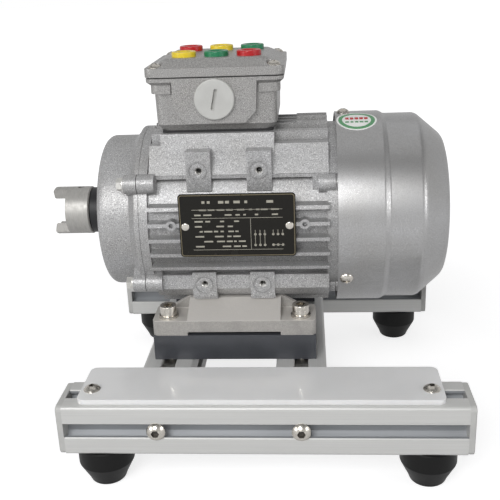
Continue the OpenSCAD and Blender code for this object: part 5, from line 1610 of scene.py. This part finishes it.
@dataclass
class CouplingHub:
    """Turned hub with its two claws, keyway and set screw."""

    at: Place = field(default_factory=Place)
    gap: float = 13.0
    body_l: float = 15.0
    claw_l: float = 9.0
    radius: float = 15.2
    bore_r: float = 5.53
    mouth_r: float = 6.3
    edge: float = 0.35
    back_edge: float = 0.7
    tip_edge: float = 0.8
    claw_in_r: float = 9.0
    claw_angle: float = 58.0
    claw_turn: float = 10.0
    keyway: tuple[float, float] = (7.2, 2.0)
    screw_in: float = 7.0
    screw_r: float = 2.1
    cutter: tuple[float, float] = (40.0, 12.0)

    def build(self) -> None:
        """Builds the hub and dresses what it holds."""
        back = self.at.shoulder - self.gap
        body = back - self.body_l
        hub = self.blank(back, body, body - self.claw_l)
        depth, half = self.keyway
        keyway = Shape.block((-depth, -half, body - 1), (0, half, back + 1))
        r = self.screw_r
        hole = Shape.turned([(0, 0), (r, 0), (r, 16), (r + 0.6, 17), (0, 17)], Round.HOLE)
        hole.turned_to(Matrix.Translation((0, 0, back - self.screw_in)) @ Axis.X_MINUS.turn())
        hub.minus(*self.claw_gaps(body), keyway, hole).rounded(self.edge, 2, 55)
        hub.turned_to(self.at.on_shaft())
        place(hub, "hub_body", Look.hub, ROTOR, ["coupling_hub"], smooth=35)
        dress("hub_key", Look.shaft)
        dress("hub_set_screw", Look.dark_steel)

    def blank(self, back: float, body: float, tip: float) -> Shape:
        """Returns the turned blank before its cuts.

        Args:
            back: Place of its face towards the motor.
            body: Place where its body ends and the claws start.
            tip: Place of the claws' tips.

        Returns:
            The blank.
        """
        bore, r, e, inner = self.bore_r, self.radius, self.tip_edge, self.claw_in_r
        profile = [(bore, back), (bore, body), (self.mouth_r, body)]
        profile += [(inner, body), (inner, tip + e), (inner + e, tip)]
        profile += arc((r - e, tip + e), e, -90, 0, 4)
        profile += [(r, back - self.back_edge), (r - self.back_edge, back)]
        return Shape.turned(profile, Round.RING, closed=True)

    def claw_gaps(self, body: float) -> list[Shape]:
        """Lists the two wedges that are cut away between the claws.

        Args:
            body: Place where the hub's body ends and the claws start.

        Returns:
            The wedges.
        """
        reach, height = self.cutter
        side = reach * math.tan(math.radians(90 - self.claw_angle / 2))
        wedge = Shape.prism([(0, 0), (side, reach), (-side, reach)], height)
        wedge.moved(z=body - height)
        turns = (-self.claw_turn, 180 - self.claw_turn)
        return [wedge.copies([Matrix.Rotation(math.radians(k), 4, "Z")]) for k in turns]


@dataclass
class MotorShaft:
    """Stepped shaft with a centre hole, a keyway and a groove for the circlip."""

    at: Place = field(default_factory=Place)
    drive_l: float = 23.0
    drive_r: float = 5.5
    drive_edge: float = 0.8
    centre: tuple[float, float, float] = (1.3, 2.2, 1.5)
    seat_r: float = 6.0
    seat_l: tuple[float, float] = (5.7, 16.0)
    rotor_r: float = 8.0
    rotor_end: float = 65.3
    fan_seat_end: float = 82.5
    groove: tuple[float, float, float] = (97.3, 98.3, 5.0)
    end: float = 102.3
    end_edge: float = 0.3
    keyway: tuple[float, float, float] = (21.5, 13.5, 3.0)
    key_half: float = 2.0
    overrun: float = 1.0

    def build(self) -> None:
        """Builds the shaft."""
        s, r, seat, rotor = self.at.shoulder, self.drive_r, self.seat_r, self.rotor_r
        tip, (hole, cone, depth), (before, after) = s - self.drive_l, self.centre, self.seat_l
        drive = [(0, tip), (hole, tip), (hole, tip + depth), (cone, tip), (r - self.drive_edge, tip)]
        drive += [(r, tip + self.drive_edge), (r, s - before), (seat, s - before), (seat, s + after)]
        middle = [(rotor, s + after), (rotor, self.rotor_end), (seat, self.rotor_end)]
        middle += [(seat, self.fan_seat_end), (r, self.fan_seat_end)]
        (start, stop, floor), end, e = self.groove, self.end, self.end_edge
        fan = [(r, start), (floor, start), (floor, stop), (r, stop), (r, end - e), (r - e, end), (0, end)]
        shaft = Shape.turned(drive + middle + fan, Round.SHAFT).turned_to(self.at.on_shaft())
        (far, near, low), half = self.keyway, self.key_half
        keyway = Shape.block((s - far, -half, low), (s - near, half, r + self.overrun))
        shaft.minus(keyway.turned_to(self.at.on_motor()))
        place(shaft, "shaft_body", Look.shaft, ROTOR, ["motor_shaft"])


@dataclass
class FanEnd:
    """Fan-end shield, plastic fan, pressed cover with its grille and sticker."""

    at: Place = field(default_factory=Place)
    start: float = 62.2
    end: float = 127.2
    radius: float = 59.0
    sheet: float = 1.2
    step_at: float = 26.0
    step_in: float = 1.7
    skirt_l: float = 47.0
    rim_r: float = 41.0
    grille_r: float = 38.0
    rings: int = 5
    ring_pitch: float = 5.4
    ring_w: float = 2.2
    ring_edge: float = 0.3
    boss_r: float = 11.0
    spokes: int = 6
    spoke_half: float = 1.1
    screw_x: float = 67.2
    screw_sink: float = 0.05
    screw_angles: tuple[float, ...] = (90.0, 210.0, 330.0)
    screw: PanScrew = PanScrew(head_r=4.0, head_h=2.6, shank_r=2.0, length=6.2)
    sticker_x: float = 74.5
    sticker_angle: float = 75.0
    sticker_half: tuple[float, float] = (11.9, 11.5)
    sticker_t: float = 0.12
    sticker_points: int = 64
    sticker_lift: float = 0.03
    ring_in: tuple[float, float] = (1.1, 3.4)
    bend_strips: int = 5
    print_lift: float = 0.14
    print_t: float = 0.05
    dash_pitch: float = 2.8
    dash_half: tuple[float, float] = (0.8, 1.15)
    seed: int = 5

    def build(self) -> None:
        """Builds the fan end."""
        dress("fan_end_shield", Look.body)
        dress("cooling_fan", Look.fan)
        dress("fan_circlip", Look.dark_steel)
        place(self.cover(), "cover_body", Look.cover, nodes=["fan_cover"], smooth=CAST_SMOOTH)
        seat = self.radius - self.screw_sink
        spots = [self.at.round_shaft(a, seat, self.screw_x, outward=True) for a in self.screw_angles]
        screws = self.screw.shape().copies(spots)
        place(screws, "cover_screw_set", Look.bright_screw, nodes=["fan_cover_screws"])
        self.sticker()

    def skin(self, wall: float) -> list[Point]:
        """Returns the cover's half section drawn in by a wall.

        Args:
            wall: Distance inside the outer skin.

        Returns:
            Points of radius and place.
        """
        r, end, rim = self.radius - wall, self.end, self.rim_r
        low, a, b = r - self.step_in, self.start + self.step_at, self.start + self.skirt_l
        step = [(r, self.start), (r, a), (r - 0.25, a + 1.0), (r - 0.85, a + 2.2), (low + 0.15, a + 3.2)]
        skirt = [(low, a + 4.2), (low, b), (low - 0.35, b + 1.6), (low - 1.1, b + 3.0)]
        back = [(low - 2.2, b + 4.3), (rim + 4.9 - wall * 0.6, end - 3.0 - wall * 0.6)]
        back += [(rim + 3.6 - wall * 0.5, end - 1.7 - wall * 0.8)]
        back += [(rim + 2.0 - wall * 0.5, end - 0.6 - wall), (rim, end - wall)]
        return step + skirt + back + [(self.grille_r - 0.2, end - wall)]

    def cover(self) -> Shape:
        """Returns the pressed cover with its grille."""
        cover = Shape.turned(self.skin(0.0) + self.skin(self.sheet)[::-1], Round.COVER, closed=True)
        low, top, e = self.end - self.sheet, self.end, self.ring_edge
        for k in range(self.rings):
            a = self.grille_r - (k + 1) * self.ring_pitch
            b = a + self.ring_w
            section = [(a, low), (b, low), (b, top - e), (b - e, top), (a + e, top), (a, top - e)]
            cover.joined(Shape.turned(section, Round.RING, closed=True))
        r = self.boss_r
        cover.joined(Shape.turned([(0, low), (r, low), (r, top - e), (r - e, top), (0, top)], Round.SHAFT))
        half = self.spoke_half
        spoke = Shape.block((r - 1.5, -half, low + 0.02), (self.grille_r + 1.0, half, top - 0.02))
        turns = [Matrix.Rotation(k * math.tau / self.spokes, 4, "Z") for k in range(self.spokes)]
        cover.joined(spoke.rounded(0.25, 2, SQUARE_ANGLE).copies(turns))
        return cover.turned_to(self.at.on_shaft())

    def sticker(self) -> None:
        """Makes the round paper sticker with generic marks, curved over the cover."""
        w, h = self.sticker_half
        flat = self.oval(w, h, self.sticker_t)
        self.wrap(flat, self.sticker_lift)
        place(flat, "sticker_oval", Look.sticker)
        outer, inner = self.ring_in
        hollow = self.oval(w - inner, h - inner, 1.0).moved(z=-0.5)
        ring = self.oval(w - outer, h - outer, self.print_t).minus(hollow)
        self.wrap(ring, self.print_lift)
        place(ring, "sticker_ring", Look.sticker_green)
        rng = random.Random(self.seed)
        for row, finish, tall in ((2.0, Look.red, 1.5), (-2.6, Look.sticker_green, 0.9)):
            dashes = Shape()
            for middle in [k * self.dash_pitch for k in range(-2, 3)]:
                half = rng.uniform(*self.dash_half)
                low, high = (middle - half, row - tall, 0), (middle + half, row + tall, self.print_t)
                dashes.joined(Shape.block(low, high))
            self.wrap(dashes, self.print_lift)
            place(dashes, f"sticker_marks_{finish.name}", finish)

    def oval(self, half_w: float, half_h: float, height: float) -> Shape:
        """Returns a flat oval, cut into strips so that it can bend.

        Args:
            half_w: Half its size along the shaft.
            half_h: Half its size round the cover.
            height: Its thickness.

        Returns:
            The oval.
        """
        strips = Shape.prism([(x * half_w, y * half_h) for x, y in ring_of(self.sticker_points)], height)
        for k in range(1 - self.bend_strips, self.bend_strips):
            loop = strips.bm.verts[:] + strips.bm.edges[:] + strips.bm.faces[:]
            cut = (0, k * half_h / self.bend_strips, 0)
            bmesh.ops.bisect_plane(strips.bm, geom=loop, plane_co=cut, plane_no=(0, 1, 0))
        return strips

    def wrap(self, flat: Shape, lift: float) -> None:
        """Bends a flat shape over the cover's front upper side.

        Args:
            flat: The shape, with X along the shaft.
            lift: Height above the cover's skin.
        """
        long_edges = [e for e in flat.bm.edges if abs(e.verts[0].co.y - e.verts[1].co.y) > 3.0]
        bmesh.ops.subdivide_edges(flat.bm, edges=long_edges, cuts=1)
        x0, y0, z0 = self.at.motor_x + self.sticker_x, self.at.motor_y, self.at.axis_z
        for vert in flat.bm.verts:
            x, y, z = vert.co
            angle = math.radians(self.sticker_angle) + y / self.radius
            r = self.radius + lift + z
            vert.co = (x0 + x, y0 - r * math.cos(angle), z0 + r * math.sin(angle))


@dataclass
class Inside:
    """Pieces inside the closed motor, dressed as they are."""

    bearing_pieces: tuple[str, ...] = ("outer", "inner", "balls")

    def build(self) -> None:
        """Dresses the hidden pieces."""
        for end in ("drive", "fan"):
            for piece in self.bearing_pieces:
                dress(f"{end}_bearing_{piece}", Look.bearing)
        dress("wave_washer", Look.bearing)
        dress("rotor_core", Look.sheets)
        dress("stator_core", Look.sheets)
        dress("rotor_cage", Look.cage)
        dress("stator_winding", Look.copper)


@dataclass
class TerminalBox:
    """Cast terminal box with its lid, gaskets, screws and blanking plug."""

    at: Place = field(default_factory=Place)
    left: float = 6.8
    box_edge: float = 0.7
    lid_edge: float = 0.9
    lid: tuple[float, float] = (79.5, 76.0)
    screw_in: float = 6.0
    lid_z: float = 87.8
    rim_t: float = 4.9
    screw: PanScrew = PanScrew(head_r=4.0, head_h=2.6, shank_r=2.0, length=12.1)
    plug_z: float = 75.1
    plug_y: float = 37.95
    plug_r: float = 11.5
    plug_t: float = 2.6
    plug_edge: float = 0.8
    plug_thread: tuple[float, float] = (10.0, 9.0)
    plug_hollow: tuple[float, float] = (8.0, 6.0)
    screw_turn: tuple[float, float] = (0.5, 0.3)
    slot: tuple[float, float, float] = (2.1, 12.2, 1.0)
    slot_floor: float = 0.6
    slot_turn: float = -12.0

    def build(self) -> None:
        """Builds the terminal box."""
        box = Shape.copy_of("terminal_box").rounded(self.box_edge, 3, CAST_ANGLE)
        place(box, "box_body", Look.box, nodes=["terminal_box"], smooth=CAST_SMOOTH)
        lid = Shape.copy_of("terminal_lid").rounded(self.lid_edge, 3, CAST_ANGLE)
        place(lid, "lid_body", Look.box, nodes=["terminal_lid"], smooth=CAST_SMOOTH)
        dress("box_gasket", Look.gasket)
        dress("lid_gasket", Look.lid_gasket)
        dress("box_screws", Look.zinc)
        dress("terminal_board", Look.board)
        dress("terminal_studs", Look.brass)
        screws = self.screw.shape().copies([self.lid_spot(sx, sy) for sx, sy in CORNERS])
        place(screws, "lid_screw_set", Look.bright_screw, nodes=["lid_screws"])
        self.plug()

    def lid_spot(self, sx: int, sy: int) -> Matrix:
        """Returns the matrix of the lid screw in one corner, each turned a little its own way."""
        x, y = (side / 2 - self.screw_in for side in self.lid)
        seat = self.at.on_motor(sx * x - self.left, sy * y, self.lid_z + self.rim_t)
        turn = self.screw_turn[0] * sx + self.screw_turn[1] * sy
        return seat @ Matrix.Rotation(turn, 4, "Z")

    def plug(self) -> None:
        """Makes the light grey plug with its coin slot."""
        r, t, e = self.plug_r, self.plug_t, self.plug_edge
        (thread, length), (hollow, floor) = self.plug_thread, self.plug_hollow
        profile = [(0, -floor), (hollow, -floor), (hollow, -length), (thread, -length), (thread, 0)]
        profile += [(r, 0), (r, t - e)] + arc((r - e, t - e), e, 0, 90, 4)[1:] + [(0, t)]
        slot = Shape.prism(rounded_outline(*self.slot, 6), 4.0).moved(z=self.slot_floor)
        plug = Shape.turned(profile, Round.STOUT).minus(slot)
        plug.rounded(0.18, 2, 60, keep=lambda e: min(v.co.z for v in e.verts) > t - 0.1)
        spot = self.at.on_motor(-self.left, -self.plug_y, self.plug_z, Axis.Y_MINUS)
        turn = Matrix.Rotation(math.radians(self.slot_turn), 4, "Z")
        spot = spot @ Nameplate.upright(spot) @ turn
        place(plug.copies([spot]), "plug_body", Look.plug, nodes=["blanking_plug"])


class Hue(Enum):
    """Colours of the sockets with their places as column and row."""

    YELLOW = ("yellow", ((-1, -1), (0, 1)))
    GREEN = ("green", ((0, -1), (1, 1)))
    RED = ("red", ((1, -1), (-1, 1)))


@dataclass
class Sockets:
    """Six insulated sockets for 4 mm plugs, in three colours."""

    at: Place = field(default_factory=Place)
    left: float = 6.8
    pitch: float = 19.0
    rows: float = 33.0
    top: float = 96.9
    flange: tuple[float, float] = (7.15, 3.0)
    lip: float = 0.75
    body_r: float = 5.5
    bore_r: float = 4.2
    body_l: float = 20.0
    bore_l: float = 17.0
    contact_r: tuple[float, float] = (2.0, 2.9)
    contact_l: float = 24.0
    contact_top: float = 1.0
    contact_edge: float = 0.3
    contact_gap: float = 0.05

    def build(self) -> None:
        """Builds the sockets, their contacts and nuts."""
        body = self.body()
        for hue in Hue:
            name, spots = hue.value
            shape = body.copies([self.spot(c, r) for c, r in spots])
            place(shape, f"{name}_socket_pair", getattr(Look, name), nodes=[f"{name}_sockets"])
        everywhere = [self.spot(c, r) for c in COLUMNS for r in SIDES]
        place(self.contact().copies(everywhere), "contact_set", Look.brass, nodes=["socket_contacts"])
        dress("socket_nuts", Look.zinc)

    def spot(self, column: int, row: int) -> Matrix:
        """Returns the matrix of the socket in a column and row."""
        return self.at.on_motor(column * self.pitch - self.left, row * self.rows / 2, self.top)

    def contact(self) -> Shape:
        """Returns one brass contact sleeve, closed at its foot."""
        (bore, r), top, e = self.contact_r, self.contact_top, self.contact_edge
        outer = [(0, -self.contact_l), (r, -self.contact_l), (r, top - e), (r - e, top)]
        inner = [(bore + e, top), (bore, top - 0.4), (bore, -self.bore_l), (0, -self.bore_l)]
        return Shape.turned(outer + inner, Round.SCREW)

    def body(self) -> Shape:
        """Returns one moulded socket, its flange resting on z = 0."""
        (r, h), lip, neck, bore = self.flange, self.lip, self.body_r, self.bore_r
        hole = self.contact_r[1] + self.contact_gap
        outer = [(hole, -self.body_l), (neck, -self.body_l), (neck, 0), (r, 0), (r, h - 0.8)]
        outer += arc((r - lip, h - lip), lip, 0, 90, 4)[1:]
        inner = [(bore + 0.7, h), (bore + 0.35, h - 0.2), (bore, h - 0.6)]
        inner += [(bore, -self.bore_l), (hole, -self.bore_l)]
        return Shape.turned(outer + inner, Round.SHAFT, closed=True)


def seen_rays(tree: bpy.types.NodeTree) -> bpy.types.NodeSocket:
    """Gives 1 for the rays that show the surround itself, directly, in metal or through glass.

    Args:
        tree: The node tree of the floor or the world.

    Returns:
        The value output.
    """
    path = tree.nodes.new("ShaderNodeLightPath")
    first, second, share = (tree.nodes.new("ShaderNodeMath") for _ in range(3))
    first.operation = second.operation = "MAXIMUM"
    share.operation = "MULTIPLY"
    share.inputs[1].default_value = GLOSS_SHARE
    tree.links.new(path.outputs["Is Camera Ray"], first.inputs[0])
    tree.links.new(path.outputs["Is Glossy Ray"], share.inputs[0])
    tree.links.new(share.outputs[0], first.inputs[1])
    tree.links.new(first.outputs[0], second.inputs[0])
    tree.links.new(path.outputs["Is Transmission Ray"], second.inputs[1])
    return second.outputs[0]


@dataclass
class Studio:
    """Pale floor, soft lamps and the camera."""

    eye: tuple[float, float, float] = (36.6, -489.5, 280.1)
    yaw: float = 4.37
    pitch: float = 19.62
    roll: float = -2.22
    focal_px: float = 806.0
    frame_px: float = 500.0
    sensor_mm: float = 36.0
    floor_size: float = 6.0
    floor_colour: Colour = (0.52, 0.52, 0.525)
    floor_dark: Colour = (0.48, 0.48, 0.485)
    floor_seen: Colour = (0.42, 0.42, 0.43)
    near_glow: float = 0.74
    glow_from: float = 0.2
    glow_to: float = 0.75
    ambient: float = 0.24
    zenith: float = 0.35
    aim: tuple[float, float, float] = (0.0, 0.0, 0.12)

    def build(self) -> None:
        """Builds the stage."""
        self.floor()
        self.world()
        self.lamps()
        self.camera()
        scene = bpy.context.scene
        scene.view_settings.view_transform = "Standard"

    def floor(self) -> None:
        """Makes a pale floor that keeps the object's shadow."""
        bm = bmesh.new()
        bmesh.ops.create_grid(bm, x_segments=1, y_segments=1, size=self.floor_size)
        mesh = bpy.data.meshes.new("floor")
        bm.to_mesh(mesh)
        bm.free()
        nodes = Nodes("pale_floor")
        tone = nodes.noise(120.0, 2.0)
        seen = seen_rays(nodes.tree)
        pale = nodes.ramp(tone, [(0.3, self.floor_dark), (0.7, self.floor_colour)])
        nodes.put("Base Color", nodes.mix(seen, self.floor_seen, pale))
        nodes.put("Roughness", 0.7)
        nodes.put("Specular IOR Level", 0.1)
        away = nodes.add("ShaderNodeVectorMath", operation="LENGTH")
        nodes.link(nodes.place, away.inputs[0])
        glow = nodes.span(away.outputs["Value"], self.near_glow, 1.0, self.glow_from, self.glow_to)
        nodes.put("Emission Color", (1.0, 1.0, 1.0))
        nodes.put("Emission Strength", nodes.math("MULTIPLY", glow, seen))
        mesh.materials.append(nodes.material)
        floor = bpy.data.objects.new("floor", mesh)
        bpy.context.scene.collection.objects.link(floor)

    def world(self) -> None:
        """Sets a white surround that lights softly."""
        world = bpy.data.worlds.new("surround")
        bpy.context.scene.world = world
        world.use_nodes = True
        tree = world.node_tree
        background = tree.nodes["Background"]
        seen = seen_rays(tree)
        level = tree.nodes.new("ShaderNodeMapRange")
        level.inputs["To Min"].default_value = self.ambient
        level.inputs["To Max"].default_value = 1.0
        tree.links.new(seen, level.inputs["Value"])
        place_of = tree.nodes.new("ShaderNodeTexCoord")
        parts = tree.nodes.new("ShaderNodeSeparateXYZ")
        tree.links.new(place_of.outputs["Generated"], parts.inputs[0])
        sky = tree.nodes.new("ShaderNodeValToRGB")
        stops = sky.color_ramp.elements
        stops[0].position, stops[0].color = 0.35, (1.0, 1.0, 1.0, 1.0)
        stops[1].position, stops[1].color = 0.85, (self.zenith, self.zenith, self.zenith, 1.0)
        tree.links.new(parts.outputs["Z"], sky.inputs[0])
        tree.links.new(sky.outputs[0], background.inputs["Color"])
        tree.links.new(level.outputs[0], background.inputs["Strength"])

    def lamps(self) -> None:
        """Hangs the soft lamps."""
        self.lamp("key", (-0.25, -1.15, 0.85), size=0.6, power=10.6)
        self.lamp("top", (0.0, 0.4, 1.4), size=1.5, power=3.2)
        self.lamp("left", (-1.1, -0.8, 0.45), size=0.6, power=4.0)
        self.lamp("right", (1.25, -0.75, 0.5), size=0.6, power=3.8)

    def lamp(self, name: str, eye: tuple[float, float, float], size: float, power: float) -> None:
        """Hangs one square lamp that faces the motor.

        Args:
            name: The lamp's name.
            eye: Its place in metres.
            size: Its side in metres.
            power: Its power in watts.
        """
        data = bpy.data.lights.new(name, "AREA")
        data.energy = power
        data.size = size
        lamp = bpy.data.objects.new(name, data)
        lamp.location = eye
        aim = Vector(self.aim) - Vector(eye)
        lamp.rotation_euler = aim.to_track_quat("-Z", "Y").to_euler()
        bpy.context.scene.collection.objects.link(lamp)

    def camera(self) -> None:
        """Sets the camera that was fitted to the photograph."""
        yaw, pitch, roll = (math.radians(a) for a in (self.yaw, self.pitch, self.roll))
        level = math.cos(pitch)
        ahead = Vector((-math.sin(yaw) * level, math.cos(yaw) * level, -math.sin(pitch)))
        right = Vector((math.cos(yaw), math.sin(yaw), 0.0))
        up = right.cross(ahead)
        across = right * math.cos(roll) + up * math.sin(roll)
        upward = -right * math.sin(roll) + up * math.cos(roll)
        turn = Matrix((across, upward, -ahead)).transposed().to_4x4()
        data = bpy.data.cameras.new("camera")
        data.sensor_width = self.sensor_mm
        data.lens = self.sensor_mm * self.focal_px / self.frame_px
        data.clip_start = 0.01
        data.clip_end = 20.0
        camera = bpy.data.objects.new("camera", data)
        camera.matrix_world = Matrix.Translation(Vector(self.eye) * MM) @ turn
        bpy.context.scene.collection.objects.link(camera)
        bpy.context.scene.camera = camera


def main() -> None:
    """Builds every sub-assembly in order and then the stage."""
    logging.basicConfig(level=logging.INFO, format="%(name)s %(message)s")
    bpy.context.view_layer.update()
    base = (BaseFrame, LabelPlate, MotorMounting)
    motor = (StatorHousing, Nameplate, EndShield, SealRing, CouplingHub, MotorShaft, FanEnd, Inside)
    for assembly in base + motor + (TerminalBox, Sockets):
        LOG.info("building %s", assembly.__name__)
        assembly().build()
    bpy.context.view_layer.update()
    Studio().build()


if __name__ == "__main__":
    main()
